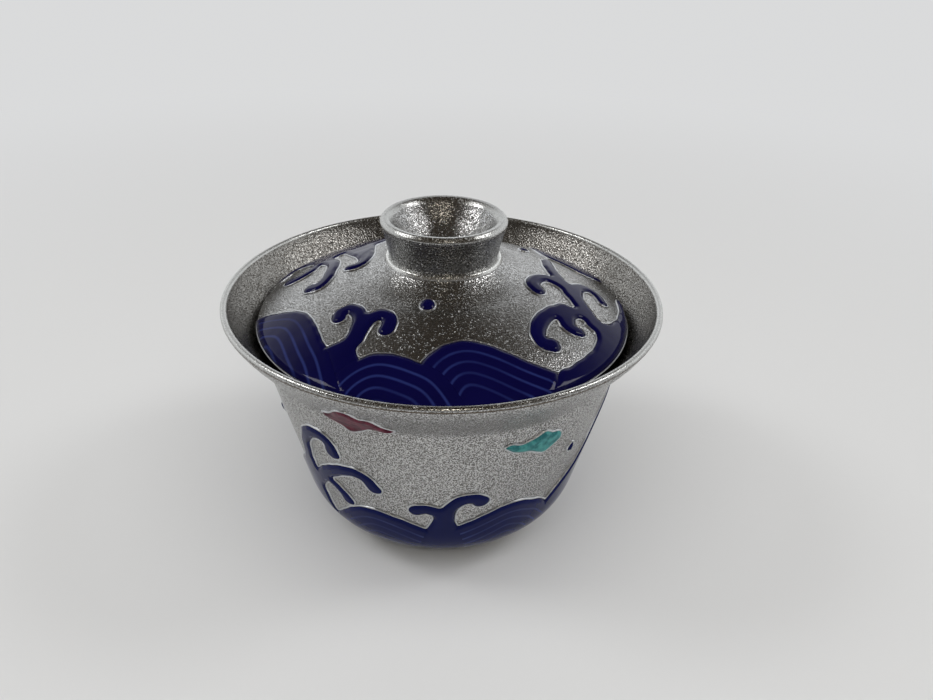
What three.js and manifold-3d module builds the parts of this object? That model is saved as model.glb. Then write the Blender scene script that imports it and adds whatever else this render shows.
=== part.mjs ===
// Lidded tea bowl: a flared bowl on a foot ring, a domed lid with a hollow ring knob,
// and enamel cells of sea waves, curling crests, clouds and spray drops on both.
// Millimetres, +Z up, origin at the middle of the foot ring's underside.

import * as THREE from 'three';
import { mergeVertices } from 'three/addons/utils/BufferGeometryUtils.js';
import Module from 'manifold-3d';

const wasm = await Module();
wasm.setup();

// Bowl sizes
const rimRadius = 50;
const bowlHeight = 60;
const bowlWall = 1.8;
const lipThickness = 1.5;
const lipLean = 22;
const shoulderRadius = 41.8;
const shoulderHeight = 47.5;
const beltRadius = 34.2;
const beltHeight = 17;
const bellyRise = 14;
const footRadius = 21;
const footWidth = 3.2;
const footHeight = 4.4;
const footFlare = 1;
const footRound = 0.5;
const recessDepth = 2.8;

// Lid sizes, heights counted from the plane of its lower edge
const lidRadius = 42.9;
const lidWall = 2.3;
const lidEdgeHeight = 3.3;
const lidEdgeRound = 1;
const lidSeatInset = 1.1;
const lidFlangeWidth = 2.2;
const lidShoulderRadius = 21;
const lidShoulderHeight = 12.4;
const lidPadRadius = 12.9;
const lidPadHeight = 16.9;
const lidEdgeSlope = 31;
const lidShoulderSlope = 12;
const lidPadSlope = 48;
const lidHollowRadius = 6.2;
const lidHollowRise = 1.8;

// Knob sizes
const knobNeckRadius = 12.3;
const knobTopRadius = 14.2;
const knobHeight = 9.3;
const knobRimWidth = 2.7;
const knobRimRound = 0.6;
const knobHollowRadius = 8.4;
const knobNeckLean = 85;
const knobTopLean = 72;
const knobMouthLean = 80;
const knobFloorLean = 62;

// Enamel sizes and clearances
const enamelThickness = 0.55;
const enamelSeat = 0.3;
const ridgeWidth = 0.5;
const seaRadius = 28;
const seatGap = 0.3;

// Scale of the drawings of the motifs, and the lid that the lid's motifs are drawn for
const drawingUnit = 1;
const drawnLidRadius = 42.9;

// How far each curve of a profile runs straight on from its two ends, as shares of the curve's span
const bellyReaches = [0.84, 0.42];
const flareReaches = [0.17, 0.3];
const lidFlareReaches = [0.42, 0.38];
const lidDomeReaches = [0.35, 0.33];
const knobReaches = [0.33, 0.25];

// Where the level cuts that shape the bowl's cells begin, out from the axis
const cutStart = 10;

// Layout of the bowl's ornament: each group holds two crests, two hills, two clouds and a drop
const groupCount = 3;
const groupTurn = 360 / groupCount;
const tallCrestAzimuth = -141;
const leanHillAzimuth = -112;
const shortCrestAzimuth = -90;
const roundHillAzimuth = -65;
const redCloudAzimuth = -112;
const redCloudBelowRim = 10;
const greenCloudAzimuth = -61;
const greenCloudBelowRim = 18.5;
const bowlDropAzimuth = -43;
const bowlDropBelowRim = 25.6;

// Facet counts
const turnFacets = 36;
const knobFacets = 28;
const bendSteps = 5;
const strokeSteps = 2;
const fieldSteps = 2;
const capSteps = 4;
const lobeFacets = 4;
const edgeSteps = 2;
const linkOverlap = 0.3;
const weldDistance = 1e-4;

const silver = { color: 0xb4b4b0, metalness: 1, roughness: 0.32 };
const cobalt = { color: 0x0c0b40, metalness: 0, roughness: 0.08 };
const madder = { color: 0x7d3241, metalness: 0, roughness: 0.12 };
const turquoise = { color: 0x3ca5a5, metalness: 0, roughness: 0.12 };

// Small vector helpers for profiles: a profile point is a Vector2 of radius and height
const at = (x, y) => new THREE.Vector2(x, y);
const toward = (degrees) => at(1, 0).rotateAround(at(0, 0), THREE.MathUtils.degToRad(degrees));
const step = (from, direction, length) => from.clone().addScaledVector(direction, length);

// Points of a cubic curve that leaves `from` along `leave` and reaches `to` along `arrive`
function bend(from, leave, to, arrive, span, [leaveReach, arriveReach]) {
  const low = step(from, leave, leaveReach * span);
  const high = step(to, arrive, -arriveReach * span);
  return new THREE.CubicBezierCurve(from, low, high, to).getPoints(bendSteps);
}

// A profile moved to the right of its travel, by a distance that runs from `atStart` to `atEnd`
function offsetProfile(points, atStart, atEnd = atStart) {
  return points.map((point, i) => {
    const before = points[Math.max(i - 1, 0)];
    const after = points[Math.min(i + 1, points.length - 1)];
    const along = after.clone().sub(before).normalize();
    const distance = THREE.MathUtils.lerp(atStart, atEnd, i / (points.length - 1));
    return step(point, at(along.y, -along.x), distance);
  });
}

// Height of a rising profile where it reaches a radius
function heightAtRadius(points, radius) {
  const next = points.findIndex((point) => point.x >= radius);
  const low = points[next - 1];
  const high = points[next];
  return THREE.MathUtils.lerp(low.y, high.y, (radius - low.x) / (high.x - low.x));
}

// Bare geometry: only positions, with shared corners merged
function weld(geometry) {
  geometry.deleteAttribute('normal');
  geometry.deleteAttribute('uv');
  return mergeVertices(geometry, weldDistance);
}

// A profile turned about the Z axis
function turned(profile, facets = turnFacets) {
  const geometry = new THREE.LatheGeometry(profile, facets);
  geometry.rotateX(Math.PI / 2);
  return weld(geometry);
}

function solidOf(geometry) {
  const vertProperties = new Float32Array(geometry.attributes.position.array);
  const triVerts = new Uint32Array(geometry.index.array);
  return new wasm.Manifold(new wasm.Mesh({ numProp: 3, vertProperties, triVerts }));
}

function geometryOf(solid) {
  const mesh = solid.getMesh();
  const geometry = new THREE.BufferGeometry();
  geometry.setAttribute('position', new THREE.BufferAttribute(mesh.vertProperties, 3));
  geometry.setIndex(new THREE.BufferAttribute(mesh.triVerts, 1));
  return geometry;
}

const joined = (solids) => solids.reduce((sum, solid) => sum.add(solid));

// Outside of the bowl from the top of the foot to the lip: belly, straight wall and flare
const wallLean = Math.atan2(shoulderHeight - beltHeight, shoulderRadius - beltRadius);
const wallDirection = toward(THREE.MathUtils.radToDeg(wallLean));
const lipDirection = toward(90 - lipLean);
const lipCentre = at(rimRadius - lipThickness / 2, bowlHeight - lipThickness / 2);
const lipOutside = step(lipCentre, at(lipDirection.y, -lipDirection.x), lipThickness / 2);
const footTop = at(footRadius + footFlare, footHeight);
const belt = at(beltRadius, beltHeight);
const shoulder = at(shoulderRadius, shoulderHeight);
const bellySpan = beltRadius - footTop.x;
const flareSpan = bowlHeight - shoulderHeight;
const bellyCurve = bend(footTop, toward(bellyRise), belt, wallDirection, bellySpan, bellyReaches);
const flareCurve = bend(shoulder, wallDirection, lipOutside, lipDirection, flareSpan, flareReaches);
const wallMiddle = belt.clone().lerp(shoulder, 0.5);
const bowlOutside = [...bellyCurve, wallMiddle, ...flareCurve];
const bowlInside = offsetProfile(bowlOutside, -bowlWall, -lipThickness);

function lipArc() {
  const outward = at(lipDirection.y, -lipDirection.x);
  const points = [];
  for (let i = 1; i < capSteps; i += 1) {
    const angle = (Math.PI * i) / capSteps;
    const side = step(lipCentre, outward, (Math.cos(angle) * lipThickness) / 2);
    points.push(step(side, lipDirection, (Math.sin(angle) * lipThickness) / 2));
  }
  return points;
}

function bowlBody() {
  const footInside = footRadius - footWidth;
  const profile = [
    at(0, recessDepth),
    at(footInside - footFlare, recessDepth),
    at(footInside, footRound),
    at(footInside + footRound, 0),
    at(footRadius - footRound, 0),
    at(footRadius, footRound),
    ...bowlOutside,
    ...lipArc(),
    ...bowlInside.toReversed(),
    at(0, bowlInside[0].y),
  ];
  return turned(profile);
}

// Top of the lid from the pad under the knob outwards: concave flare, then dome
const padEdge = at(lidPadRadius, lidPadHeight);
const lidShoulder = at(lidShoulderRadius, lidShoulderHeight);
const lidBrow = at(lidRadius - lidEdgeRound, lidEdgeHeight + lidEdgeRound / 2);
const lidSlope = toward(-lidShoulderSlope);
const lidFlareSpan = lidShoulderRadius - lidPadRadius;
const lidDomeSpan = lidBrow.x - lidShoulderRadius;
const lidFlare = bend(padEdge, toward(-lidPadSlope), lidShoulder, lidSlope, lidFlareSpan, lidFlareReaches);
const lidDome = bend(lidShoulder, lidSlope, lidBrow, toward(-lidEdgeSlope), lidDomeSpan, lidDomeReaches);
const lidTop = [...lidFlare, ...lidDome.slice(1)];

// The lid's lower edge lies inside the flare, one seat gap off the bowl's inner wall
const lidSeatRadius = lidRadius - lidSeatInset;
const lidSeatHeight = heightAtRadius(offsetProfile(bowlInside, -seatGap), lidSeatRadius);

function lidBody() {
  const flangeInside = lidSeatRadius - lidFlangeWidth;
  const domeUnder = offsetProfile(lidDome, lidWall).filter((point) => point.x < flangeInside - lidWall);
  const hollowTop = domeUnder[0].y + lidHollowRise;
  const edgeSide = at(lidRadius, lidEdgeHeight - lidEdgeRound);
  const edgeCorner = at(lidRadius, lidEdgeHeight);
  const edge = new THREE.QuadraticBezierCurve(edgeSide, edgeCorner, lidBrow).getPoints(edgeSteps);
  const profile = [
    at(0, hollowTop),
    at(lidHollowRadius, hollowTop),
    ...domeUnder,
    at(flangeInside, 0),
    at(lidSeatRadius, 0),
    ...edge.slice(0, -1),
    ...lidTop.toReversed(),
    at(0, lidPadHeight),
  ];
  return turned(profile);
}

function knobRing() {
  const rimInside = knobTopRadius - knobRimWidth;
  const rimShoulder = knobHeight - 2 * knobRimRound;
  const neck = at(knobNeckRadius, 0);
  const brow = at(knobTopRadius, rimShoulder);
  const mouth = at(rimInside, knobHeight - knobRimRound);
  const floor = at(knobHollowRadius, 0);
  const outside = bend(neck, toward(knobNeckLean), brow, toward(knobTopLean), knobHeight, knobReaches);
  const inside = bend(mouth, toward(-180 + knobMouthLean), floor, toward(-180 + knobFloorLean), knobHeight,
    knobReaches);
  const profile = [
    ...outside,
    at(knobTopRadius, knobHeight - knobRimRound),
    at(knobTopRadius - knobRimRound, knobHeight),
    at(rimInside + knobRimRound / 2, knobHeight),
    ...inside,
    neck,
  ];
  return turned(profile, knobFacets);
}

// A thin revolved layer over a profile that has the outside on its right: enamel cells are cut from it
function skinOf(profile) {
  const inner = offsetProfile(profile, enamelSeat);
  const outer = offsetProfile(profile, enamelSeat + enamelThickness);
  return solidOf(turned([...outer, ...inner.toReversed(), outer[0]]));
}

const seaEdge = at(seaRadius, heightAtRadius(bowlOutside, seaRadius));
const bowlSkin = skinOf([seaEdge, ...bowlOutside.filter((point) => point.x > seaRadius).slice(0, -1)]);
const lidSkin = skinOf(lidTop.slice(1).toReversed());

// Outlines: x to the right and y up as seen from outside the bowl, or the plan of the lid
const drawn = (list) => new THREE.SplineCurve(list.map(([x, y]) => at(x, y)));

// Places along a brush stroke, with the half width there: at the root, along the middle and at the tip
function strokePlaces({ line, root, waist, tip }) {
  const spine = drawn(line);
  const steps = (line.length - 1) * strokeSteps;
  return Array.from({ length: steps + 1 }, (_, i) => {
    const t = i / steps;
    const width = root * (1 - t) ** 2 + 2 * waist * t * (1 - t) + tip * t ** 2;
    return { point: spine.getPoint(t), along: spine.getTangent(t), half: width / 2 };
  });
}

// A brush stroke's outline: up one side, round the tip and down the other side
function strokeShape(stroke) {
  const places = strokePlaces(stroke);
  const edge = (side) => places.map(
    ({ point, along, half }) => step(point, at(along.y, -along.x), side * half),
  );
  const { point, along, half } = places.at(-1);
  const cap = [];
  for (let i = 1; i < capSteps; i += 1) {
    const angle = (Math.PI * i) / capSteps;
    const side = step(point, at(along.y, -along.x), Math.cos(angle) * half);
    cap.push(step(side, along, Math.sin(angle) * half));
  }
  return new THREE.Shape([...edge(1), ...cap, ...edge(-1).toReversed()]);
}

// A field of water: a smooth edge, then straight sides out of sight below it
const fieldEdge = ({ edge }) => drawn(edge).getPoints((edge.length - 1) * fieldSteps);
const fieldShape = (field) => new THREE.Shape([
  ...fieldEdge(field),
  ...field.close.map(([x, y]) => at(x, y)),
]);

function lobeShape([x, y, across, high = across]) {
  return new THREE.Shape().absellipse(x, y, across, high, 0, 2 * Math.PI);
}

// A border of links: a slab from each place to the next, run on a little at both ends, and a round tip
function borderShapes(places) {
  const slabs = places.slice(1).map(({ point, half }, i) => {
    const from = places[i];
    const along = point.clone().sub(from.point).normalize();
    const side = at(along.y, -along.x);
    const start = step(from.point, along, -from.half * linkOverlap);
    const end = step(point, along, half * linkOverlap);
    return new THREE.Shape([
      step(start, side, from.half),
      step(end, side, half),
      step(end, side, -half),
      step(start, side, -from.half),
    ]);
  });
  const { point, half } = places.at(-1);
  return [...slabs, lobeShape([point.x, point.y, half])];
}

const strokeBorder = (stroke) => borderShapes(
  strokePlaces(stroke).map(({ point, half }) => ({ point, half: half + ridgeWidth })),
);
const fieldBorder = (field) => borderShapes(fieldEdge(field).map((point) => ({ point, half: ridgeWidth })));

const extruded = (shape, depth) => new THREE.ExtrudeGeometry(shape, {
  depth,
  bevelEnabled: false,
  curveSegments: lobeFacets,
});

// An outline cut straight down through the lid's layer; the drawing grows with the lid
function overLid(shape) {
  const grown = (drawingUnit * lidRadius) / drawnLidRadius;
  return solidOf(weld(extruded(shape, 2 * lidPadHeight).scale(grown, grown, 1)));
}

// An outline cut level into the bowl's layer, facing an azimuth and raised to a height
function facing(azimuth, height) {
  const angle = THREE.MathUtils.degToRad(azimuth);
  const outward = new THREE.Vector3(Math.cos(angle), Math.sin(angle), 0);
  const upward = new THREE.Vector3(0, 0, 1);
  const across = new THREE.Vector3().crossVectors(upward, outward);
  const placed = new THREE.Matrix4().makeBasis(across, upward, outward);
  placed.setPosition(outward.multiplyScalar(cutStart).setZ(height));
  placed.scale(new THREE.Vector3(drawingUnit, drawingUnit, 1));
  return (shape) => solidOf(weld(extruded(shape, rimRadius)).applyMatrix4(placed));
}

// The whole motif as one solid, and the same with the ridge that borders it
function motifSolid({ fields = [], strokes = [], lobes = [] }, project) {
  const shapes = [...fields.map(fieldShape), ...strokes.map(strokeShape), ...lobes.map(lobeShape)];
  return joined(shapes.map(project));
}

function borderedSolid({ fields = [], strokes = [] }, project) {
  const borders = [...fields.flatMap(fieldBorder), ...strokes.flatMap(strokeBorder)];
  const shapes = [...fields.map(fieldShape), ...borders];
  return joined(shapes.map(project));
}

// A stroke's widths at its root, along its middle and at its tip, then the points that it runs through
const brush = ([root, waist, tip], ...line) => ({ line, root, waist, tip });

const motifs = {
  // Bowl: x runs along the wall from the motif's azimuth, y is the height above the table or the cloud
  tallCrest: {
    fields: [{
      edge: [[-16.5, 0], [-15.6, 13], [-14.4, 17.9], [-11, 21.6], [-7, 24.4], [-3.4, 28.6]],
      close: [[0.2, 28.6], [0.3, 20], [3.4, 0]],
    }],
    strokes: [
      brush([4, 2.2, 3.6], [-1.5, 22], [-1.1, 30], [1.4, 36.6], [5.6, 39.8], [9.2, 39.4], [9.9, 36.2]),
      brush([4, 2, 3.2], [-1.4, 21], [4.4, 26.9], [9, 30.2], [13, 31.9], [16.2, 31.6], [17.5, 28.9]),
      brush([2.4, 2.2, 3.2], [3, 25], [6, 24.4], [8, 22.8], [9, 20.9]),
    ],
  },
  shortCrest: {
    strokes: [
      brush([12, 0.6, 3.4], [0.3, 5], [0.3, 12.5], [0.4, 17], [0.4, 19.4], [0.3, 21.4], [-0.8, 23.5],
        [-3.2, 24.4], [-5.3, 23.9]),
      brush([4, 2.2, 3.6], [0.6, 18.5], [1.1, 22.6], [2.6, 25.9], [4.8, 27.7], [7, 27.6], [8.4, 26.6]),
    ],
  },
  leanHill: {
    fields: [{
      edge: [[-24, 0], [-14.2, 11.8], [-7.2, 18.9], [-1.5, 20.9], [5.6, 19.3], [12.5, 15.6]],
      close: [[12.5, 0]],
    }],
  },
  roundHill: {
    fields: [{
      edge: [[-14, 16.8], [-11.4, 18.3], [-3, 22.6], [1.9, 23.1], [6.5, 21.3], [11, 17.7],
        [24, 0]],
      close: [[-14, 0]],
    }],
  },
  redCloud: {
    fields: [{
      edge: [[-8.1, 0.3], [-6.2, 0.9], [-4.6, 2.4], [-2.6, 4.3], [-0.5, 4.4], [1.2, 2.4], [3.4, 2.8], [4.8, 0.6],
        [7.1, -0.6], [5.4, -1.7], [2.6, -1.3], [0.6, -2.3], [-2.4, -3.8], [-5, -2.5], [-7.6, -1.2]],
      close: [],
    }],
  },
  greenCloud: {
    fields: [{
      edge: [[-7.5, 1.5], [-6.3, 2], [-4.4, 1.4], [-2.6, 1.6], [-0.6, 2.4], [1.4, 3.2], [3.2, 2.2], [4.6, 2],
        [6, 1], [6.4, -0.4], [4.6, -1.8], [2.4, -3.2], [0.4, -2.2], [-1.4, -1.4], [-3.6, -0.9], [-5.6, -0.2]],
      close: [],
    }],
  },
  bowlDrop: { lobes: [[0, 0, 0.9, 1.3]] },

  // Lid: plan view, with the front of the lid at negative y
  leftHill: {
    fields: [{
      edge: [[-46, -5.2], [-36.5, -9.2], [-30.6, -12.6], [-27.6, -17], [-25, -23.2], [-22.8, -28],
        [-20.6, -34.6], [-18, -41]],
      close: [[-22, -50], [-50, -50]],
    }],
  },
  lowHill: {
    fields: [{
      edge: [[-23.5, -36], [-20.4, -32.8], [-16.2, -30.7], [-11.6, -30.4], [-5.3, -32.8], [0.2, -36.1],
        [6, -44]],
      close: [[6, -50], [-26, -50]],
    }],
  },
  forkedCrest: {
    fields: [{
      edge: [[-24.5, -26.2], [-20.8, -25.4], [-18.7, -24], [-18, -21.4], [-16.2, -21.4], [-16.6, -24],
        [-17.4, -26], [-17.6, -27.9], [-16.6, -30.6], [-14.5, -34]],
      close: [[-24, -36]],
    }],
    strokes: [
      brush([3.4, 2.6, 3],
        [-18.2, -26], [-17.2, -22], [-17.6, -18.6], [-19.4, -16.6], [-21.4, -16.9], [-21.8, -18.4]),
      brush([3.4, 2.6, 3.2], [-17.6, -25], [-15.6, -21.2], [-13, -20.1], [-11.1, -21.6], [-11.4, -24.3]),
    ],
  },
  roundLidHill: {
    fields: [{
      edge: [[-6, -37], [-3.4, -32.2], [0.6, -29.1], [5.2, -28], [10.5, -28.9], [17, -30.9], [23, -31.8]],
      close: [[25, -50], [-6, -50]],
    }],
  },
  branchedCrest: {
    fields: [{
      edge: [[20.5, -40], [23.2, -31.9], [25.6, -29.8], [28.4, -26.7], [31.6, -22.6], [33, -18.4],
        [32.2, -14.8], [30.4, -13.2]],
      close: [[31.6, -12], [33.4, -12.1], [35.2, -12.5], [37, -11.8], [38.6, -9.6], [40.4, -10],
        [52, -16], [50, -30], [22, -52]],
    }],
    strokes: [
      brush([4.2, 3.3, 2.6], [33, -14.4], [30, -7.5], [26.8, -0.6], [25.2, 5.5], [24.9, 10.4]),
      brush([3.6, 2.7, 3.2], [27.2, -2.2], [23.4, -1.7], [21, -3.3], [19.9, -6.1], [20.9, -8.3]),
      brush([4, 2.3, 2.2], [29.4, -5.4], [30.9, -0.9], [33.4, 0.9], [35.8, -0.3], [36.8, -2.9]),
      brush([3.6, 2.8, 3.4],
        [31.4, -12.2], [27, -13.2], [23.6, -15.2], [20.7, -19], [19.6, -22.8], [20.5, -25.2], [22.5, -25.2]),
      brush([4.4, 3.4, 2.8], [26.6, -13.4], [26.3, -16.6], [27, -18.5], [28.8, -18.9]),
      brush([6, 2.6, 1.4], [38.4, -16], [40.8, -9.6], [42.2, -3], [42.4, 4.5]),
    ],
  },
  backCrest: {
    fields: [{
      edge: [[-43, 8], [-40.2, 12.6], [-36.6, 17], [-33, 15.8], [-30.4, 13.2], [-27.6, 12.6], [-25.4, 14.6],
        [-23.4, 15.8], [-20, 15.6], [-17, 17.2], [-14.4, 21], [-11.6, 27], [-10, 34], [-12, 44]],
      close: [[-16, 52], [-52, 52], [-52, 10]],
    }],
    strokes: [
      brush([3.6, 1.9, 3.3],
        [-28.8, 12.6], [-26.6, 9.4], [-26, 6], [-26.2, 2], [-26.9, -2], [-28.4, -3.8], [-29.8, -3.4]),
      brush([8, 1.6, 2.6], [-21, 17.4], [-19.6, 12], [-18.6, 8.4], [-18.3, 5], [-19.2, 2.4], [-21.4, 1.6]),
      brush([2.6, 2.2, 3.4], [-30.2, 13.4], [-31.4, 9], [-33, 7], [-35, 6.2], [-36.2, 6.3]),
    ],
  },
  backHill: {
    fields: [{
      edge: [[-16, 34], [-11, 33.5], [-5, 31.5], [2, 30.5], [9, 32], [14, 36], [17, 42]],
      close: [[20, 52], [-22, 52]],
    }],
  },
  sideHill: {
    fields: [{
      edge: [[22, 40], [22.6, 29], [23.6, 21.4], [25.4, 16.8], [27.4, 15.2], [30, 14], [33, 12.6],
        [36, 12.4], [39, 13.8], [46, 19]],
      close: [[52, 36], [34, 52]],
    }],
  },
  frontLidDrop: { lobes: [[-3.4, -18.2, 1.45]] },
  backLidDrop: { lobes: [[19.8, 16.6, 1.2]] },
};

function cellMesh(name, layer, own, hiddenBy, finish) {
  const shown = hiddenBy.reduce((rest, front) => rest.subtract(front), layer.intersect(own));
  return meshOf(name, geometryOf(shown), finish);
}

function meshOf(name, geometry, finish) {
  geometry.computeVertexNormals();
  const mesh = new THREE.Mesh(geometry, new THREE.MeshStandardMaterial(finish));
  mesh.name = name;
  return mesh;
}

// One group of bowl motifs after another round the wall, each cell behind the ones in front of it
function bowlCells() {
  const cells = [];
  for (let group = 0; group < groupCount; group += 1) {
    const facingIn = (turn, azimuth, belowRim = bowlHeight) => (
      facing(azimuth + (group + turn) * groupTurn, bowlHeight - belowRim)
    );
    const shortCrestBorder = borderedSolid(motifs.shortCrest, facingIn(0, shortCrestAzimuth));
    const leanHillBorder = borderedSolid(motifs.leanHill, facingIn(0, leanHillAzimuth));
    const nextLeanHillBorder = borderedSolid(motifs.leanHill, facingIn(1, leanHillAzimuth));
    const lastRoundHillBorder = borderedSolid(motifs.roundHill, facingIn(-1, roundHillAzimuth));
    const cell = (name, motif, finish, place, hiddenBy = []) => {
      const own = motifSolid(motif, facingIn(0, ...place));
      cells.push(cellMesh(`bowl_${name}_${group + 1}`, bowlSkin, own, hiddenBy, finish));
    };
    cell('short_crest', motifs.shortCrest, cobalt, [shortCrestAzimuth]);
    cell('lean_hill', motifs.leanHill, cobalt, [leanHillAzimuth], [shortCrestBorder]);
    const roundHillFronts = [shortCrestBorder, leanHillBorder, nextLeanHillBorder];
    cell('round_hill', motifs.roundHill, cobalt, [roundHillAzimuth], roundHillFronts);
    cell('tall_crest', motifs.tallCrest, cobalt, [tallCrestAzimuth], [leanHillBorder, lastRoundHillBorder]);
    cell('red_cloud', motifs.redCloud, madder, [redCloudAzimuth, redCloudBelowRim]);
    cell('green_cloud', motifs.greenCloud, turquoise, [greenCloudAzimuth, greenCloudBelowRim]);
    cell('drop', motifs.bowlDrop, cobalt, [bowlDropAzimuth, bowlDropBelowRim]);
  }
  return cells;
}

function lidCells() {
  const cell = (name, motif, ...hiddenBy) => {
    const fronts = hiddenBy.map((front) => borderedSolid(front, overLid));
    return cellMesh(`lid_${name}`, lidSkin, motifSolid(motif, overLid), fronts, cobalt);
  };
  return [
    cell('left_hill', motifs.leftHill),
    cell('low_hill', motifs.lowHill, motifs.leftHill),
    cell('forked_crest', motifs.forkedCrest, motifs.leftHill, motifs.lowHill),
    cell('branched_crest', motifs.branchedCrest),
    cell('round_hill', motifs.roundLidHill, motifs.lowHill, motifs.branchedCrest),
    cell('back_crest', motifs.backCrest),
    cell('back_hill', motifs.backHill, motifs.backCrest),
    cell('side_hill', motifs.sideHill),
    cell('drop_front', motifs.frontLidDrop),
    cell('drop_back', motifs.backLidDrop),
  ];
}

const bowl = new THREE.Group();
bowl.add(meshOf('bowl_body', bowlBody(), silver), ...bowlCells());

const knob = meshOf('lid_knob', knobRing(), silver);
knob.position.z = lidPadHeight + seatGap;

const lid = new THREE.Group();
lid.add(meshOf('lid_body', lidBody(), silver), knob, ...lidCells());
lid.position.z = lidSeatHeight;

const liddedBowl = new THREE.Group();
liddedBowl.add(bowl, lid);

export default liddedBowl;
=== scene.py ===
# %% [markdown]
# # A lidded tea bowl in grained silver and sea-blue enamel
# The real object is a flared tea bowl and its lid, thrown in clay, glazed and silvered. Raised lines of
# slip draw waves, crests and clouds on both, and glossy enamel fills the cells between the lines.
# The construction comes in as a fixed frame. This lesson dresses it: smooth turned bodies, enamel cells with
# rounded edges, the silver ridges that hold them, and then the finishes and the light.

# %% Load the fixed frame
import math

import bpy
import numpy as np
from mathutils import Matrix, Vector


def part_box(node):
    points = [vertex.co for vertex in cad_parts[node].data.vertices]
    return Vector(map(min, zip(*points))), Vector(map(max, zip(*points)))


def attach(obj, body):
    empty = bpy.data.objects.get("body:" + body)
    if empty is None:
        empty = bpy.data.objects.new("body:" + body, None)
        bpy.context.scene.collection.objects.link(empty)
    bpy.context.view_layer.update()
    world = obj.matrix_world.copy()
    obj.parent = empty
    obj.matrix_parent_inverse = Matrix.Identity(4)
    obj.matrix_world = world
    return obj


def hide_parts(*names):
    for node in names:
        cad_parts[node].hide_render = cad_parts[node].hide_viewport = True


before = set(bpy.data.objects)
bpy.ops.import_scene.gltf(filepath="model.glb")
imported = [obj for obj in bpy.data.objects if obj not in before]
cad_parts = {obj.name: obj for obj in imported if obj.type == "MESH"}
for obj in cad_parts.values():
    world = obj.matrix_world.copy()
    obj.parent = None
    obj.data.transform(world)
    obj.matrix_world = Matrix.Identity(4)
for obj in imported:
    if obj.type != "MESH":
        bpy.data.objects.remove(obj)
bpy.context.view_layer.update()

MM = 0.001
print("nodes in the frame:", len(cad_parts))

# %% [markdown]
# ## The camera
# The photograph looks down on the bowl from the front. A Track To constraint could aim a camera by eye, but
# the rim is a circle, and its ellipse tells more: how round it is gives the height of the eye, and how much
# nearer its front half looks gives the distance. So the camera aims at the middle of the rim by numbers,
# then turns a little, as a hand-held one does.

# %% Place the camera
FRAME_WIDTH_PIXELS = 933
FOCAL_PIXELS = 800
SENSOR_WIDTH = 36
NEAREST_SEEN = 0.01
BOWL_HEIGHT = 60
CAMERA_DISTANCE = 185.9
CAMERA_ELEVATION = math.radians(25.58)
CAMERA_YAW = math.radians(-1.70)
CAMERA_PITCH = math.radians(4.47)
CAMERA_ROLL = math.radians(0.68)


def link(name, data):
    """A new object in the scene that holds this data."""
    made = bpy.data.objects.new(name, data)
    bpy.context.scene.collection.objects.link(made)
    return made


def add_camera():
    lens = bpy.data.cameras.new("camera")
    lens.sensor_width = SENSOR_WIDTH
    lens.lens = SENSOR_WIDTH * FOCAL_PIXELS / FRAME_WIDTH_PIXELS
    lens.clip_start = NEAREST_SEEN
    camera = link("camera", lens)
    aimed = Matrix.Rotation(math.pi / 2 - CAMERA_ELEVATION, 4, "X")
    turned = Matrix.Rotation(CAMERA_YAW, 4, "Y") @ Matrix.Rotation(-CAMERA_PITCH, 4, "X")
    rolled = Matrix.Rotation(CAMERA_ROLL, 4, "Z")
    back = aimed @ Vector((0, 0, CAMERA_DISTANCE * MM))
    place = Matrix.Translation(back + Vector((0, 0, BOWL_HEIGHT * MM)))
    camera.matrix_world = place @ aimed @ turned @ rolled
    bpy.context.scene.camera = camera
    return camera


camera = add_camera()
print("camera at", [round(c / MM) for c in camera.location], "mm")
print("lens in mm:", round(camera.data.lens, 2))

# %% [markdown]
# ## Profiles
# A potter's form is a profile turned about an axis. Blender's Screw modifier could turn a drawn curve, but
# a profile kept as numbers can also carry the ornament: a point on the wall and the direction straight out
# of it are both known exactly. Curves leave and arrive along set directions, and corners are softened.

# %% Profile helpers
CURVE_STEPS = 28
CORNER_STEPS = 6


def toward(degrees):
    """A unit step in a profile, turned up from straight outwards."""
    return np.array([math.cos(math.radians(degrees)), math.sin(math.radians(degrees))])


def bend(start, leave, end, arrive, span, reaches):
    """Points of a cubic curve that leaves along one direction and arrives along another."""
    low = start + reaches[0] * span * toward(leave)
    high = end - reaches[1] * span * toward(arrive)
    t = np.linspace(0, 1, CURVE_STEPS + 1)[:, None]
    s = 1 - t
    return s**3 * start + 3 * t * s**2 * low + 3 * t**2 * s * high + t**3 * end


def outward(profile):
    """Unit steps to the right of a profile's travel, which is straight out of the wall."""
    along = np.gradient(profile, axis=0)
    along /= np.linalg.norm(along, axis=1, keepdims=True)
    return np.stack([along[:, 1], -along[:, 0]], axis=1)


def offset(profile, first, last):
    """The profile moved out of the wall, by a distance that changes along its way."""
    return profile + np.linspace(first, last, len(profile))[:, None] * outward(profile)


def softened(*corners):
    """A line through corners of (radius, height, softness), each cut back and bent round."""
    places = [np.array(corner[:2], float) for corner in corners]
    points = [places[0]]
    t = np.linspace(0, 1, CORNER_STEPS + 1)[:, None]
    for before, place, after, corner in zip(places, places[1:], places[2:], corners[1:]):
        start = place + corner[2] * (before - place) / np.linalg.norm(before - place)
        end = place + corner[2] * (after - place) / np.linalg.norm(after - place)
        points.extend((1 - t)**2 * start + 2 * t * (1 - t) * place + t**2 * end)
    return np.array([*points, places[-1]])


print("points on a bend:", CURVE_STEPS + 1, "and on a softened corner:", CORNER_STEPS + 1)

# %% [markdown]
# ### The bowl's profile
# The bowl's wall rises from the foot ring in a full belly, runs nearly straight, and flares into the lip.
# A subdivision surface over a few rings would be rounder with less work, but it pulls the wall off its true
# line. Here each stretch is a curve of its own, in the frame's own millimetres, so that the smooth wall
# lies where the faceted one does. The foot's corners are softened, as a wet sponge leaves them.

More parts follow.
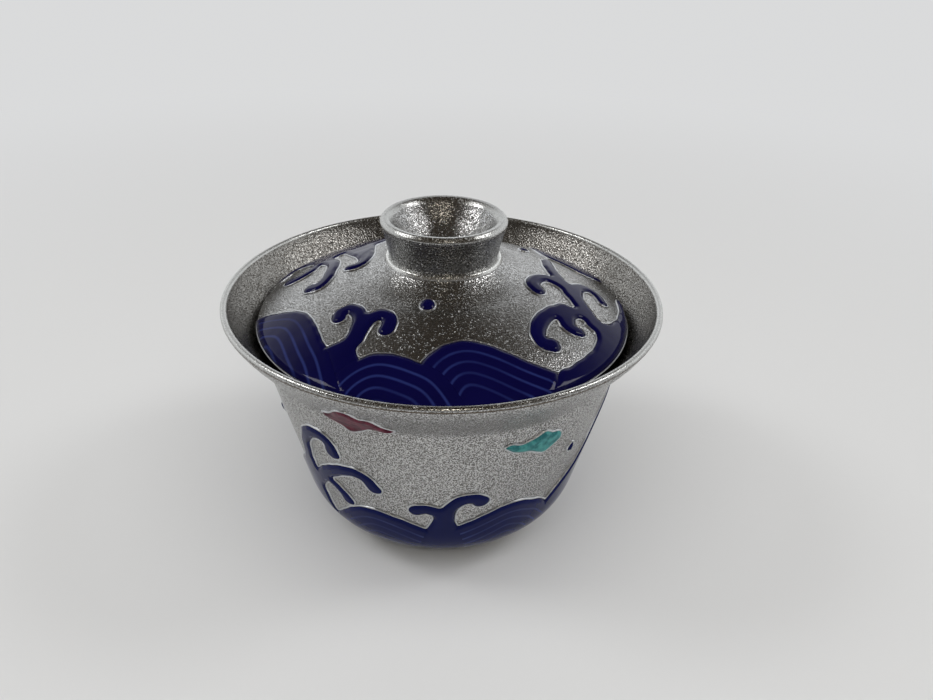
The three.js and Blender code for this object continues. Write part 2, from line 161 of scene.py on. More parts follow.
# %% Bowl profile
RIM_RADIUS = 50
BOWL_WALL = 1.8
LIP_THICKNESS = 1.5
LIP_LEAN = 22
SHOULDER = np.array([41.8, 47.5])
BELT = np.array([34.2, 17])
BELLY_RISE = 14
BELLY_REACHES = (0.84, 0.42)
FLARE_REACHES = (0.17, 0.3)
FOOT_RADIUS = 21
FOOT_WIDTH = 3.2
FOOT_HEIGHT = 4.4
FOOT_FLARE = 1
RECESS_DEPTH = 2.8
RECESS_SOFTNESS = 0.8
FOOT_SOFTNESS = 0.5
FOOT_TOP_SOFTNESS = 0.7
# The belly's first steps, which the softened top of the foot takes up
FOOT_BLEND = 5
WALL_STEPS = 20
LIP_STEPS = 14

foot_top = np.array([FOOT_RADIUS + FOOT_FLARE, FOOT_HEIGHT])
wall_rise = math.degrees(math.atan2(*(SHOULDER - BELT)[::-1]))
lip_rise = 90 - LIP_LEAN
lip_middle = np.array([RIM_RADIUS, BOWL_HEIGHT]) - LIP_THICKNESS / 2
lip_outside = lip_middle + LIP_THICKNESS / 2 * toward(lip_rise - 90)
belly = bend(foot_top, BELLY_RISE, BELT, wall_rise, BELT[0] - foot_top[0], BELLY_REACHES)
straight = np.linspace(BELT, SHOULDER, WALL_STEPS + 1)[1:-1]
flare = bend(SHOULDER, wall_rise, lip_outside, lip_rise, BOWL_HEIGHT - SHOULDER[1], FLARE_REACHES)
bowl_outside = np.concatenate([belly, straight, flare])
bowl_inside = offset(bowl_outside, -BOWL_WALL, -LIP_THICKNESS)


def bowl_profile():
    """The whole bowl, from the axis under its foot round to the axis on its floor."""
    foot_inside = FOOT_RADIUS - FOOT_WIDTH
    foot = softened(
        (0, RECESS_DEPTH),
        (foot_inside - FOOT_FLARE, RECESS_DEPTH, RECESS_SOFTNESS),
        (foot_inside, 0, FOOT_SOFTNESS),
        (FOOT_RADIUS, 0, FOOT_SOFTNESS),
        (*foot_top, FOOT_TOP_SOFTNESS),
        belly[FOOT_BLEND - 1],
    )
    turns = np.linspace(lip_rise - 90, lip_rise + 90, LIP_STEPS + 1)[1:-1]
    lip = [lip_middle + LIP_THICKNESS / 2 * toward(turn) for turn in turns]
    floor_middle = (0, bowl_inside[0][1])
    return np.concatenate([foot, bowl_outside[FOOT_BLEND:], lip, bowl_inside[::-1], [floor_middle]])


print("bowl profile:", len(bowl_profile()), "points")

# %% [markdown]
# ### The lid's profile
# The lid is a shallow dome with a turned-down edge, and a concave sweep that climbs to a small collar under
# the knob. Silver shows the least dent in a curve, so the dome and the sweep are two long bends that meet
# at the shoulder, and only the edge and the collar are made of corners. Its place is read from the frame.

# %% Lid profile
LID_RADIUS = 42.9
LID_WALL = 2.3
LID_EDGE_HEIGHT = 3.3
LID_EDGE_ROUND = 1
LID_EDGE_DROP = 0.2
LID_EDGE_SOFTNESS = 1.1
LID_SEAT_INSET = 1.1
LID_SEAT_SOFTNESS = 0.5
LID_FLANGE_WIDTH = 2.2
LID_FLANGE_SOFTNESS = 0.6
LID_SHOULDER = np.array([21, 12.8])
LID_SWEEP_TOP = np.array([13.3, 16.3])
LID_PAD_HEIGHT = 16.9
LID_DOME_SLOPES = (-15, -31)
LID_DOME_REACHES = (0.35, 0.33)
LID_SWEEP_SLOPES = (-36, -8)
LID_SWEEP_REACHES = (0.36, 0.4)
LID_HOLLOW_RADIUS = 6.2
LID_HOLLOW_RISE = 1.8
LID_HOLLOW_SOFTNESS = 2
# Radius, height and softness of the collar's corners
LID_COLLAR = ((13.25, 16.4, 0.12), (12.95, 17.45, 0.4), (12.2, 17.35, 0.1))

lid_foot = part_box("lid_body")[0].z / MM
lid_brow = np.array([LID_RADIUS - LID_EDGE_ROUND, LID_EDGE_HEIGHT + LID_EDGE_ROUND / 2])


def slope(start, end, slopes, reaches):
    """A bend down the lid's top, between two slopes in degrees."""
    return bend(start, slopes[0], end, slopes[1], end[0] - start[0], reaches)


lid_sweep = slope(LID_SWEEP_TOP, LID_SHOULDER, LID_SWEEP_SLOPES, LID_SWEEP_REACHES)
lid_dome = slope(LID_SHOULDER, lid_brow, LID_DOME_SLOPES, LID_DOME_REACHES)


def lid_profiles():
    """The whole lid from the axis round to the axis, and the part of its top that carries ornament."""
    seat_radius = LID_RADIUS - LID_SEAT_INSET
    flange_inside = seat_radius - LID_FLANGE_WIDTH
    under = offset(lid_dome, LID_WALL, LID_WALL)
    under = under[under[:, 0] < flange_inside - LID_WALL]
    edge = softened(
        under[-1],
        (flange_inside, 0, LID_FLANGE_SOFTNESS),
        (seat_radius, 0, LID_SEAT_SOFTNESS),
        (LID_RADIUS, LID_EDGE_HEIGHT - LID_EDGE_DROP, LID_EDGE_SOFTNESS),
        lid_dome[-2],
    )
    top = np.concatenate([edge[-CORNER_STEPS:-1], lid_dome[-2:0:-1], lid_sweep[:0:-1]])
    collar = softened(lid_sweep[1], *LID_COLLAR, (0, LID_PAD_HEIGHT))
    hollow_top = under[0][1] + LID_HOLLOW_RISE
    hollow = softened((0, hollow_top), (LID_HOLLOW_RADIUS, hollow_top, LID_HOLLOW_SOFTNESS), under[0])
    whole = np.concatenate([hollow[:-1], under[:-1], edge[:-CORNER_STEPS], top, collar[1:]])
    return whole + (0, lid_foot), top + (0, lid_foot)


lid_whole, lid_top = lid_profiles()
print("lid profile:", len(lid_whole), "points,", len(lid_top), "of them under ornament")

# %% [markdown]
# ### The knob's profile
# The knob is a ring that leans out, thrown apart and luted on, and the lid can stand on it upside down. Its
# hollow could be a plain cylinder, but a cylinder's walls would mirror only each other and stay dark. The
# real hollow catches a lamp on each side, as a small bowl does, so its inside is one round bend.

# %% Knob profile
KNOB_NECK_RADIUS = 12.3
KNOB_TOP_RADIUS = 14.2
KNOB_RIM_WIDTH = 2.7
KNOB_SEAT = 0.3
KNOB_ROOT = 0.5
KNOB_LEANS = (84, 74)
KNOB_REACHES = (0.33, 0.25)
KNOB_BROW_INSET = 0.1
KNOB_BROW_DROP = 1.5
KNOB_MOUTH_DROP = 0.9
# How far in from the outer radius, how far down from the top, and the softness of the rim's corners
KNOB_RIM = ((0, 0.9, 0.35), (0.75, 0, 0.3), (1.8, 0.12, 0.25))
KNOB_HOLLOW_LEANS = (-120, 180)
KNOB_HOLLOW_REACHES = (0.62, 0.5)
KNOB_HOLLOW_FLOOR = 0.2

knob_foot = lid_foot + LID_PAD_HEIGHT + KNOB_SEAT
knob_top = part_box("lid_knob")[1].z / MM


def knob_profile():
    """The whole knob, from the axis under its root round to the axis in its hollow."""
    top = knob_top - knob_foot
    neck = np.array([KNOB_NECK_RADIUS, 0])
    brow = np.array([KNOB_TOP_RADIUS - KNOB_BROW_INSET, top - KNOB_BROW_DROP])
    mouth = np.array([KNOB_TOP_RADIUS - KNOB_RIM_WIDTH, top - KNOB_MOUTH_DROP])
    bottom = np.array([0, KNOB_HOLLOW_FLOOR])
    corners = [(KNOB_TOP_RADIUS - inset, top - drop, softness) for inset, drop, softness in KNOB_RIM]
    outside = bend(neck, KNOB_LEANS[0], brow, KNOB_LEANS[1], top, KNOB_REACHES)
    rim = softened(brow, *corners, mouth)
    inside = bend(mouth, KNOB_HOLLOW_LEANS[0], bottom, KNOB_HOLLOW_LEANS[1], top, KNOB_HOLLOW_REACHES)
    root = [(0, -KNOB_ROOT), (KNOB_NECK_RADIUS, -KNOB_ROOT)]
    return np.concatenate([root, outside[:-1], rim, inside[1:]]) + (0, knob_foot)


print("knob profile:", len(knob_profile()), "points")

# %% [markdown]
# ## Turning
# The bowl, the lid and the knob are the three silvered bodies, and all were turned on a wheel. The Screw
# modifier would leave the axis open, so the rings are joined here in code. Each profile starts and ends on
# the axis and closes into one solid: a fan at each end, and bands of quads between neighbouring rings.

# %% Turn the three bodies
TURN_SEGMENTS = 240


def mesh_piece(name, points, faces, body, slot):
    """A smooth mesh object of points in mm, riding on a body of the frame."""
    mesh = bpy.data.meshes.new(name)
    mesh.from_pydata((np.asarray(points) * MM).tolist(), [], faces)
    mesh.polygons.foreach_set("use_smooth", [True] * len(mesh.polygons))
    mesh.update()
    piece = link(name, mesh)
    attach(piece, body)
    return piece


def turn(name, profile, body, node):
    """A profile from axis to axis, turned about Z."""
    rings = np.asarray(profile)[1:-1]
    angles = np.arange(TURN_SEGMENTS) * 2 * math.pi / TURN_SEGMENTS
    radius, height = rings[:, :1], np.repeat(rings[:, 1:], TURN_SEGMENTS, axis=1)
    points = np.stack([radius * np.cos(angles), radius * np.sin(angles), height], axis=-1).reshape(-1, 3)
    index = np.arange(len(points)).reshape(len(rings), TURN_SEGMENTS)
    beside = np.roll(index, -1, axis=1)
    bands = np.stack([index[:-1], beside[:-1], beside[1:], index[1:]], axis=-1).reshape(-1, 4)
    start, end = len(points), len(points) + 1
    fans = [(start, b, a) for a, b in zip(index[0], beside[0])]
    fans += [(end, a, b) for a, b in zip(index[-1], beside[-1])]
    poles = [(0, 0, profile[0][1]), (0, 0, profile[-1][1])]
    piece = mesh_piece(name, [*points, *poles], [*bands.tolist(), *fans], body, "silvered_ceramic")
    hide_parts(node)
    return piece


bowl = turn("bowl", bowl_profile(), "bowl", "bowl_body")
lid = turn("lid", lid_whole, "lid", "lid_body")
knob = turn("knob", knob_profile(), "lid", "lid_knob")
for piece in (bowl, lid, knob):
    print(piece.name, "size in mm:", [round(c / MM, 1) for c in piece.dimensions])

# %% [markdown]
# ## Drawing the ornament
# The waves are drawn flat, as a painter would lay them out: brush strokes with a width at the root, the
# middle and the tip, fields of water under a smooth edge, and round lobes for the drops. Blender curves
# could hold these shapes, but what is kept here is a distance field: how far any point lies from the edge
# of a shape, negative inside. Distance fields join softly, cut each other cleanly, and give the rounding
# of the enamel at the same time. A stroke comes first: a row of discs along a smooth spine.

# %% Brush strokes
SPINE_STEP = 0.12
FAR = 6.0


def brush(widths, *line):
    """A stroke's widths at root, middle and tip, and the points that it runs through."""
    return {"line": np.array(line, float), "widths": widths}


def spline(points, step=SPINE_STEP):
    """Points along a smooth curve through the given ones, and how far along each lies, from 0 to 1."""
    padded = np.concatenate([points[:1], points, points[-1:]])
    spans = len(points) - 1
    count = max(2, round(np.linalg.norm(np.diff(points, axis=0), axis=1).max() / step))
    t = np.linspace(0, 1, count, endpoint=False)[:, None]
    curve = []
    for i in range(spans):
        before, start, end, after = padded[i : i + 4]
        leave, arrive = (end - before) / 2, (after - start) / 2
        cubic = 2 * start - 2 * end + leave + arrive
        square = -3 * start + 3 * end - 2 * leave - arrive
        curve.append(cubic * t**3 + square * t**2 + leave * t + start)
    curve = np.concatenate([*curve, points[-1:]])
    return curve, np.linspace(0, 1, len(curve))


def near(x, y, points, reach):
    """Where a grid lies close enough to some points to matter."""
    low, high = points.min(axis=0) - reach - FAR, points.max(axis=0) + reach + FAR
    return (x > low[0]) & (x < high[0]) & (y > low[1]) & (y < high[1])


def stroke_distance(x, y, stroke):
    """Distance to the nearest disc of a stroke; far away it is only said to be far."""
    spine, t = spline(stroke["line"])
    root, waist, tip = stroke["widths"]
    half = (root * (1 - t)**2 + 2 * waist * t * (1 - t) + tip * t**2) / 2
    close = near(x, y, spine, half.max())
    xs, ys = x[close], y[close]
    best = np.full(xs.shape, FAR)
    for (cx, cy), radius in zip(spine, half):
        np.minimum(best, np.hypot(xs - cx, ys - cy) - radius, out=best)
    distance = np.full(x.shape, FAR)
    distance[close] = best
    return distance


beside_stroke = stroke_distance(np.array([5.0]), np.array([3.0]), brush((4, 4, 4), (0, 0), (10, 0)))
print("3 mm from the spine of a stroke 4 mm wide:", beside_stroke.round(2), "mm to its edge")

# %% [markdown]
# ### Fields and lobes
# A hill of water is a field: a smooth edge along its crest, closed by straight sides where nothing shows.
# A drop of spray is a lobe, which needs no outline at all. For a field the distance to the outline is
# measured stretch by stretch, and a point counts as inside where a level ray from it crosses the outline
# an odd number of times.

# %% Fields of water and lobes
FIELD_STEP = 0.5


def water(edge, close):
    """A field's smooth edge, and the straight sides that close it where nothing shows."""
    return {"edge": np.array(edge, float), "close": np.array(close, float).reshape(-1, 2)}


def line_distance(x, y, line):
    """Plain distance to a line of points."""
    best = np.full(x.shape, np.inf)
    for start, end in zip(line, line[1:]):
        step = end - start
        share = ((x - start[0]) * step[0] + (y - start[1]) * step[1]) / (step @ step)
        share = np.clip(share, 0, 1)
        apart = np.hypot(x - start[0] - share * step[0], y - start[1] - share * step[1])
        np.minimum(best, apart, out=best)
    return best


def field_distance(x, y, field):
    """Distance to a field's outline, negative inside."""
    edge, _ = spline(field["edge"], FIELD_STEP)
    outline = np.concatenate([edge, field["close"], edge[:1]])
    inside = np.zeros(x.shape, bool)
    for (x0, y0), (x1, y1) in zip(outline, outline[1:]):
        if y0 != y1:
            inside ^= ((y0 > y) != (y1 > y)) & (x < (x1 - x0) * (y - y0) / (y1 - y0) + x0)
    distance = line_distance(x, y, outline)
    return np.where(inside, -distance, distance)


def lobe_distance(x, y, lobe):
    """A lobe is a disc, or an upright oval where it has two radii."""
    cx, cy, across, high = (*lobe, lobe[2])[:4]
    return (np.hypot((x - cx) / across, (y - cy) / high) - 1) * min(across, high)


print("2 mm from the middle of a lobe of 3 mm:", lobe_distance(2, 0, (0, 0, 3)), "mm to its edge")

# %% [markdown]
# ### Joining the shapes
# Where two strokes meet, the painter's slip runs together and fills the notch. A boolean union would leave
# a sharp corner there. The lesser of two distances joins two shapes, and a soft lesser fills the notch. Two
# long, shallow waves are added, because no hand draws a line quite steadily.

# %% Join the shapes of a motif
JOIN_SOFTNESS = 1.1
# Height of each wave of the hand, its start, and its turns along x and y
HAND_WAVES = ((0.05, 0, 1.3, 0.9), (0.04, 2, -1.1, 1.7))


def soft_least(a, b):
    """The lesser of two distances, with the notch between the shapes filled a little."""
    share = np.clip(0.5 + (b - a) / (2 * JOIN_SOFTNESS), 0, 1)
    return b + share * (a - b) - JOIN_SOFTNESS * share * (1 - share)


def wobble(x, y):
    """The unsteady hand that drew the lines."""
    first, second = (height * np.sin(start + along * x + up * y) for height, start, along, up in HAND_WAVES)
    return first + second


def motif_distance(x, y, motif):
    """All the shapes of a motif as one."""
    parts = [field_distance(x, y, field) for field in motif.get("fields", [])]
    parts += [stroke_distance(x, y, stroke) for stroke in motif.get("strokes", [])]
    parts += [lobe_distance(x, y, lobe) for lobe in motif.get("lobes", [])]
    distance = parts[0]
    for part in parts[1:]:
        distance = soft_least(distance, part)
    return distance + wobble(x, y)


print("the hand strays by up to", round(sum(wave[0] for wave in HAND_WAVES), 2), "mm")

# %% [markdown]
# ### Motifs of the bowl
# Round the wall run a tall crest, a leaning hill, a short forked crest and a round hill, with two clouds and
# a drop of spray above them. A picture could be wrapped round the wall, but drawn shapes can become raised
# glass. A motif is drawn as seen from outside, facing its own azimuth: x runs along the wall, and y is the
# height above the table, or above the middle of a cloud. The group goes round the wall three times.

# %% Motifs of the bowl
GROUP_COUNT = 3
GROUP_TURN = 120
BOWL_MOTIFS = {
    "tall_crest": {
        "azimuth": -141,
        "fields": [water(
            [(-16.5, 0), (-15.6, 13), (-14.4, 17.9), (-11, 21.6), (-7, 24.4), (-3.4, 28.6)],
            [(0.2, 28.6), (0.3, 20), (3.4, 0)],
        )],
        "strokes": [
            brush((4, 2.2, 3.6), (-1.5, 22), (-1.1, 30), (1.4, 36.6), (5.6, 39.8), (9.2, 39.4), (9.9, 36.2)),
            brush((4, 2, 3.2), (-1.4, 21), (4.4, 26.9), (9, 30.2), (13, 31.9), (16.2, 31.6), (17.5, 28.9)),
            brush((2.4, 2.2, 3.2), (3, 25), (6, 24.4), (8, 22.8), (9, 20.9)),
        ],
    },
    "lean_hill": {
        "azimuth": -112,
        "fields": [water(
            [(-24, 0), (-14.2, 11.8), (-7.2, 18.9), (-1.5, 20.9), (5.6, 19.3), (12.5, 15.6)],
            [(12.5, 0)],
        )],
    },
    "short_crest": {
        "azimuth": -90,
        "strokes": [
            brush((12, 0.6, 3.4), (0.3, 5), (0.3, 12.5), (0.4, 17), (0.4, 19.4), (0.3, 21.4), (-0.8, 23.5),
                  (-3.2, 24.4), (-5.3, 23.9)),
            brush((4, 2.2, 3.6), (0.6, 18.5), (1.1, 22.6), (2.6, 25.9), (4.8, 27.7), (7, 27.6), (8.4, 26.6)),
        ],
    },
    "round_hill": {
        "azimuth": -65,
        "fields": [water(
            [(-14, 16.8), (-11.4, 18.3), (-3, 22.6), (1.9, 23.1), (6.5, 21.3), (11, 17.7), (24, 0)],
            [(-14, 0)],
        )],
    },
    "red_cloud": {
        "azimuth": -112,
        "height": 50,
        "fields": [water(
            [(-8.1, 0.3), (-6.2, 0.9), (-4.6, 2.4), (-2.6, 4.3), (-0.5, 4.4), (1.2, 2.4), (3.4, 2.8),
             (4.8, 0.6), (7.1, -0.6), (5.4, -1.7), (2.6, -1.3), (0.6, -2.3), (-2.4, -3.8), (-5, -2.5),
             (-7.6, -1.2)],
            [],
        )],
    },
    "green_cloud": {
        "azimuth": -61,
        "height": 41.5,
        "fields": [water(
            [(-7.5, 1.5), (-6.3, 2), (-4.4, 1.4), (-2.6, 1.6), (-0.6, 2.4), (1.4, 3.2), (3.2, 2.2), (4.6, 2),
             (6, 1), (6.4, -0.4), (4.6, -1.8), (2.4, -3.2), (0.4, -2.2), (-1.4, -1.4), (-3.6, -0.9),
             (-5.6, -0.2)],
            [],
        )],
    },
    "drop": {"azimuth": -43, "height": 34.4, "lobes": [(0, 0, 0.9, 1.3)]},
}
# Which motifs lie in front of each one, and in which neighbouring group
BOWL_FRONTS = {
    "lean_hill": [("short_crest", 0)],
    "round_hill": [("short_crest", 0), ("lean_hill", 0), ("lean_hill", 1)],
    "tall_crest": [("lean_hill", 0), ("round_hill", -1)],
}
print("bowl motifs:", ", ".join(BOWL_MOTIFS))

# %% [markdown]
# ### Motifs of the lid
# The same sea goes once round the lid: hills at the front, crests with curled arms at the sides and the
# back, and two drops near the knob. The dome is shallow, so a plan is the simplest drawing: x to the right,
# and the front of the lid at negative y. Outlines run on past the edge, and the edge cuts them.

# %% Motifs of the lid
LID_MOTIFS = {
    "left_hill": {
        "fields": [water(
            [(-46, -5.2), (-36.5, -9.2), (-30.6, -12.6), (-27.6, -17), (-25, -23.2), (-22.8, -28),
             (-20.6, -34.6), (-18, -41)],
            [(-22, -50), (-50, -50)],
        )],
    },
    "low_hill": {
        "fields": [water(
            [(-23.5, -36), (-20.4, -32.8), (-16.2, -30.7), (-11.6, -30.4), (-5.3, -32.8), (0.2, -36.1),
             (6, -44)],
            [(6, -50), (-26, -50)],
        )],
    },
    "forked_crest": {
        "fields": [water(
            [(-24.5, -26.2), (-20.8, -25.4), (-18.7, -24), (-18, -21.4), (-16.2, -21.4), (-16.6, -24),
             (-17.4, -26), (-17.6, -27.9), (-16.6, -30.6), (-14.5, -34)],
            [(-24, -36)],
        )],
        "strokes": [
            brush((3.4, 2.6, 3), (-18.2, -26), (-17.2, -22), (-17.6, -18.6), (-19.4, -16.6), (-21.4, -16.9),
                  (-21.8, -18.4)),
            brush((3.4, 2.6, 3.2), (-17.6, -25), (-15.6, -21.2), (-13, -20.1), (-11.1, -21.6),
                  (-11.4, -24.3)),
        ],
    },
    "branched_crest": {
        "fields": [water(
            [(20.5, -40), (23.2, -31.9), (25.6, -29.8), (28.4, -26.7), (31.6, -22.6), (33, -18.4),
             (32.2, -14.8), (30.4, -13.2)],
            [(31.6, -12), (33.4, -12.1), (35.2, -12.5), (37, -11.8), (38.6, -9.6), (40.4, -10), (52, -16),
             (50, -30), (22, -52)],
        )],
        "strokes": [
            brush((4.2, 3.3, 2.6), (33, -14.4), (30, -7.5), (26.8, -0.6), (25.2, 5.5), (24.9, 10.4)),
            brush((3.6, 2.7, 3.2), (27.2, -2.2), (23.4, -1.7), (21, -3.3), (19.9, -6.1), (20.9, -8.3)),
            brush((4, 2.3, 2.2), (29.4, -5.4), (30.9, -0.9), (33.4, 0.9), (35.8, -0.3), (36.8, -2.9)),
            brush((3.6, 2.8, 3.4), (31.4, -12.2), (27, -13.2), (23.6, -15.2), (20.7, -19), (19.6, -22.8),
                  (20.5, -25.2), (22.5, -25.2)),
            brush((4.4, 3.4, 2.8), (26.6, -13.4), (26.3, -16.6), (27, -18.5), (28.8, -18.9)),
            brush((6, 2.6, 1.4), (38.4, -16), (40.8, -9.6), (42.2, -3), (42.4, 4.5)),
        ],
    },
    "round_hill": {
        "fields": [water(
            [(-6, -37), (-3.4, -32.2), (0.6, -29.1), (5.2, -28), (10.5, -28.9), (17, -30.9), (23, -31.8)],
            [(25, -50), (-6, -50)],
        )],
    },
    "back_crest": {
        "fields": [water(
            [(-43, 8), (-40.2, 12.6), (-36.6, 17), (-33, 15.8), (-30.4, 13.2), (-27.6, 12.6), (-25.4, 14.6),
             (-23.4, 15.8), (-20, 15.6), (-17, 17.2), (-14.4, 21), (-11.6, 27), (-10, 34), (-12, 44)],
            [(-16, 52), (-52, 52), (-52, 10)],
        )],
        "strokes": [
            brush((3.6, 1.9, 3.3), (-28.8, 12.6), (-26.6, 9.4), (-26, 6), (-26.2, 2), (-26.9, -2),
                  (-28.4, -3.8), (-29.8, -3.4)),
            brush((8, 1.6, 2.6), (-21, 17.4), (-19.6, 12), (-18.6, 8.4), (-18.3, 5), (-19.2, 2.4),
                  (-21.4, 1.6)),
            brush((2.6, 2.2, 3.4), (-30.2, 13.4), (-31.4, 9), (-33, 7), (-35, 6.2), (-36.2, 6.3)),
        ],
    },
    "back_hill": {
        "fields": [water(
            [(-16, 34), (-11, 33.5), (-5, 31.5), (2, 30.5), (9, 32), (14, 36), (17, 42)],
            [(20, 52), (-22, 52)],
        )],
    },
    "side_hill": {
        "fields": [water(
            [(22, 40), (22.6, 29), (23.6, 21.4), (25.4, 16.8), (27.4, 15.2), (30, 14), (33, 12.6),
             (36, 12.4), (39, 13.8), (46, 19)],
            [(52, 36), (34, 52)],
        )],
    },
    "drop_front": {"lobes": [(-3.3, -18.2, 1.45)]},
    "drop_back": {"lobes": [(19.8, 16.6, 1.2)]},
}
# Which motifs lie in front of each one
LID_FRONTS = {
    "low_hill": ["left_hill"],
    "forked_crest": ["left_hill", "low_hill"],
    "round_hill": ["low_hill", "branched_crest"],
    "back_hill": ["back_crest"],
}
print("lid motifs:", ", ".join(LID_MOTIFS))

# %% [markdown]
# ## Walls
# The ornament lies on the outside of the bowl and on top of the lid, so it has to follow both walls. A
# Shrinkwrap modifier could press flat shapes onto them, but it knows only the nearest face. A wall that is
# followed along its profile gives any point of it, and any point a little off it, straight out.

# %% Follow a wall
class Wall:
    """The outside of a turned body, followed along its profile."""

    def __init__(self, profile):
        self.profile = profile
        self.out = outward(profile)
        steps = np.linalg.norm(np.diff(profile, axis=0), axis=1)
        self.run = np.concatenate([[0], np.cumsum(steps)])

    def along(self, run, values):
        return np.interp(run, self.run, values)

    def place(self, angle, run, lift):
        """The point at an angle and a run along the profile, lifted straight off the wall."""
        radius = self.along(run, self.profile[:, 0]) + lift * self.along(run, self.out[:, 0])
        height = self.along(run, self.profile[:, 1]) + lift * self.along(run, self.out[:, 1])
        return np.stack([radius * np.cos(angle), radius * np.sin(angle), height], axis=-1)

    def run_at_radius(self, radius):
        order = np.argsort(self.profile[:, 0])
        return np.interp(radius, self.profile[order, 0], self.run[order])


bowl_wall = Wall(bowl_outside)
lid_wall = Wall(lid_top)
print("length of the walls in mm: bowl", bowl_wall.run[-1].round(1), "lid", lid_wall.run[-1].round(1))

# %% [markdown]
# ## Charts
# A chart is a fine grid laid over a wall: angle and run along the profile on the bowl, plan x and y on the
# lid. The drawings are measured on it. The walls are steep in places, where a drawn distance is shorter
# than the real one, so a chart also knows how its steps lie in space and corrects the distance by them.

# %% Lay a chart on each wall
GRID = 0.3
LIP_CLEARANCE = 1.5
STEEPNESS_LIMITS = (0.35, 1.5)
LEAST_AREA = 1e-9
GROUP_AZIMUTHS = (-184, -20)


class Chart:
    """A grid of two coordinates, and the rule that places them on a wall."""

    def __init__(self, columns, rows, place):
        self.u, self.v = np.meshgrid(columns, rows)
        self.place = place
        ground = place(self.u, self.v, 0.0)
        self.across = np.gradient(ground, axis=1)
        self.up = np.gradient(ground, axis=0)

    def true_distance(self, distance):
        """A drawn distance, corrected for the tilt of the wall by its steepness on the real surface."""
        by_column, by_row = np.gradient(distance, axis=1), np.gradient(distance, axis=0)
        e = (self.across**2).sum(-1)
        f = (self.across * self.up).sum(-1)
        g = (self.up**2).sum(-1)
        steep = g * by_column**2 - 2 * f * by_column * by_row + e * by_row**2
        steepness = np.sqrt(steep / np.maximum(e * g - f**2, LEAST_AREA))
        return distance / np.clip(steepness, *STEEPNESS_LIMITS)


def place_on_lid(x, y, lift):
    return lid_wall.place(np.arctan2(y, x), lid_wall.run_at_radius(np.hypot(x, y)), lift)


def bowl_chart(first, last):
    """A stretch of the bowl's wall between two azimuths in degrees."""
    columns = round(math.radians(last - first) * SHOULDER[0] / GRID)
    rows = round(bowl_wall.run[-1] / GRID)
    angles = np.radians(np.linspace(first, last, columns + 1))
    return Chart(angles, np.linspace(0, bowl_wall.run[-1] - LIP_CLEARANCE, rows), bowl_wall.place)


lid_span = np.arange(-LID_RADIUS, LID_RADIUS + GRID, GRID)
lid_chart = Chart(lid_span, lid_span, place_on_lid)
group_chart = bowl_chart(*GROUP_AZIMUTHS)
print("chart points: lid", lid_chart.u.size, "bowl group", group_chart.u.size)

# %% [markdown]
# ## Carving a chart
# Where a distance is negative, the wall is covered. Deleting whole faces of the grid would leave steps like
# stairs, so its triangles are cut along the zero line, and an outline is as smooth as the field itself.
# Marching squares is the usual way to do this; with triangles there are fewer cases to think of.

# %% Cut the covered part out of a grid
# A cut keeps a little way off the grid points, so that no sliver is left
CUT_LIMITS = (0.04, 0.96)


def carve(value, wraps=False):
    """Corners and triangles where a value is negative; a corner lies between two grid points at a share."""
    rows, columns = value.shape
    index = np.arange(rows * columns).reshape(rows, columns)
    same = index.copy()
    if wraps:
        same[:, -1] = same[:, 0]
    a, b, c, d = index[:-1, :-1], index[:-1, 1:], index[1:, 1:], index[1:, :-1]
    triangles = np.concatenate([np.stack(t, axis=-1).reshape(-1, 3) for t in ((a, b, c), (a, c, d))])
    flat = value.ravel()
    inside = flat[triangles] < 0
    count = inside.sum(axis=1)

    def pair(first, second):
        return np.stack([first, second], axis=-1)

    def lone_first(wanted, flag):
        """Triangles with so many corners inside, turned so that the odd corner comes first."""
        odd = (inside[count == wanted] == flag).argmax(axis=1)
        turned = (odd[:, None] + np.arange(3)) % 3
        return np.take_along_axis(triangles[count == wanted], turned, axis=1).T

    whole = triangles[count == 3]
    p, q, r = lone_first(1, True)
    tips = np.stack([pair(p, p), pair(p, q), pair(p, r)], axis=1)
    p, q, r = lone_first(2, False)
    left = np.stack([pair(p, q), pair(q, q), pair(r, r)], axis=1)
    right = np.stack([pair(p, q), pair(r, r), pair(p, r)], axis=1)
    corners = np.concatenate([pair(whole, whole), tips, left, right]).reshape(-1, 2)
    ends = np.sort(same.ravel()[corners], axis=1)
    keys = ends[:, 0] * flat.size + ends[:, 1]
    _, first, ids = np.unique(keys, return_index=True, return_inverse=True)
    low, high = corners[first].T
    drop = np.where(low == high, 1, flat[low] - flat[high])
    share = np.where(low == high, 0, np.clip(flat[low] / drop, *CUT_LIMITS))
    return low, high, share, ids.reshape(-1, 3)


def sampler(carved):
    """Reads any grid of values at the carved corners."""
    low, high, share, _ = carved
    return lambda grid: grid.ravel()[low] * (1 - share) + grid.ravel()[high] * share


def rim_edges(triangles):
    """The edges with a triangle on one side only, in the direction of that triangle."""
    edges = np.concatenate([triangles[:, [0, 1]], triangles[:, [1, 2]], triangles[:, [2, 0]]])
    size = triangles.max() + 1
    forward, backward = edges[:, 0] * size + edges[:, 1], edges[:, 1] * size + edges[:, 0]
    return edges[~np.isin(forward, backward)]


small_disc = carve(np.hypot(*np.mgrid[-5:6, -5:6]) - 3.5)[3]
print("a disc on a small grid:", len(small_disc), "triangles and", len(rim_edges(small_disc)), "rim edges")

# %% [markdown]
# ## Enamel cells
# Enamel is glass that melted and pooled inside its outline, so it stands proud with a rounded edge, highest
# in the middle. A Solidify modifier with a bevel would give every cell a flat top. The distance to bare
# silver is already known at every point, so the top rises by it, with a shallow valley where two cells
# meet. Each cell is a closed shell: a crowned top, a short side, and a base sunk into the wall.

# %% Shape one cell
ENAMEL_CROWN = 0.62
ENAMEL_EDGE = 0.2
ENAMEL_SHOULDER = 0.9
ENAMEL_ROOT = -0.25
SEAM_DEPTH = 0.04
SEAM_WIDTH = 0.35


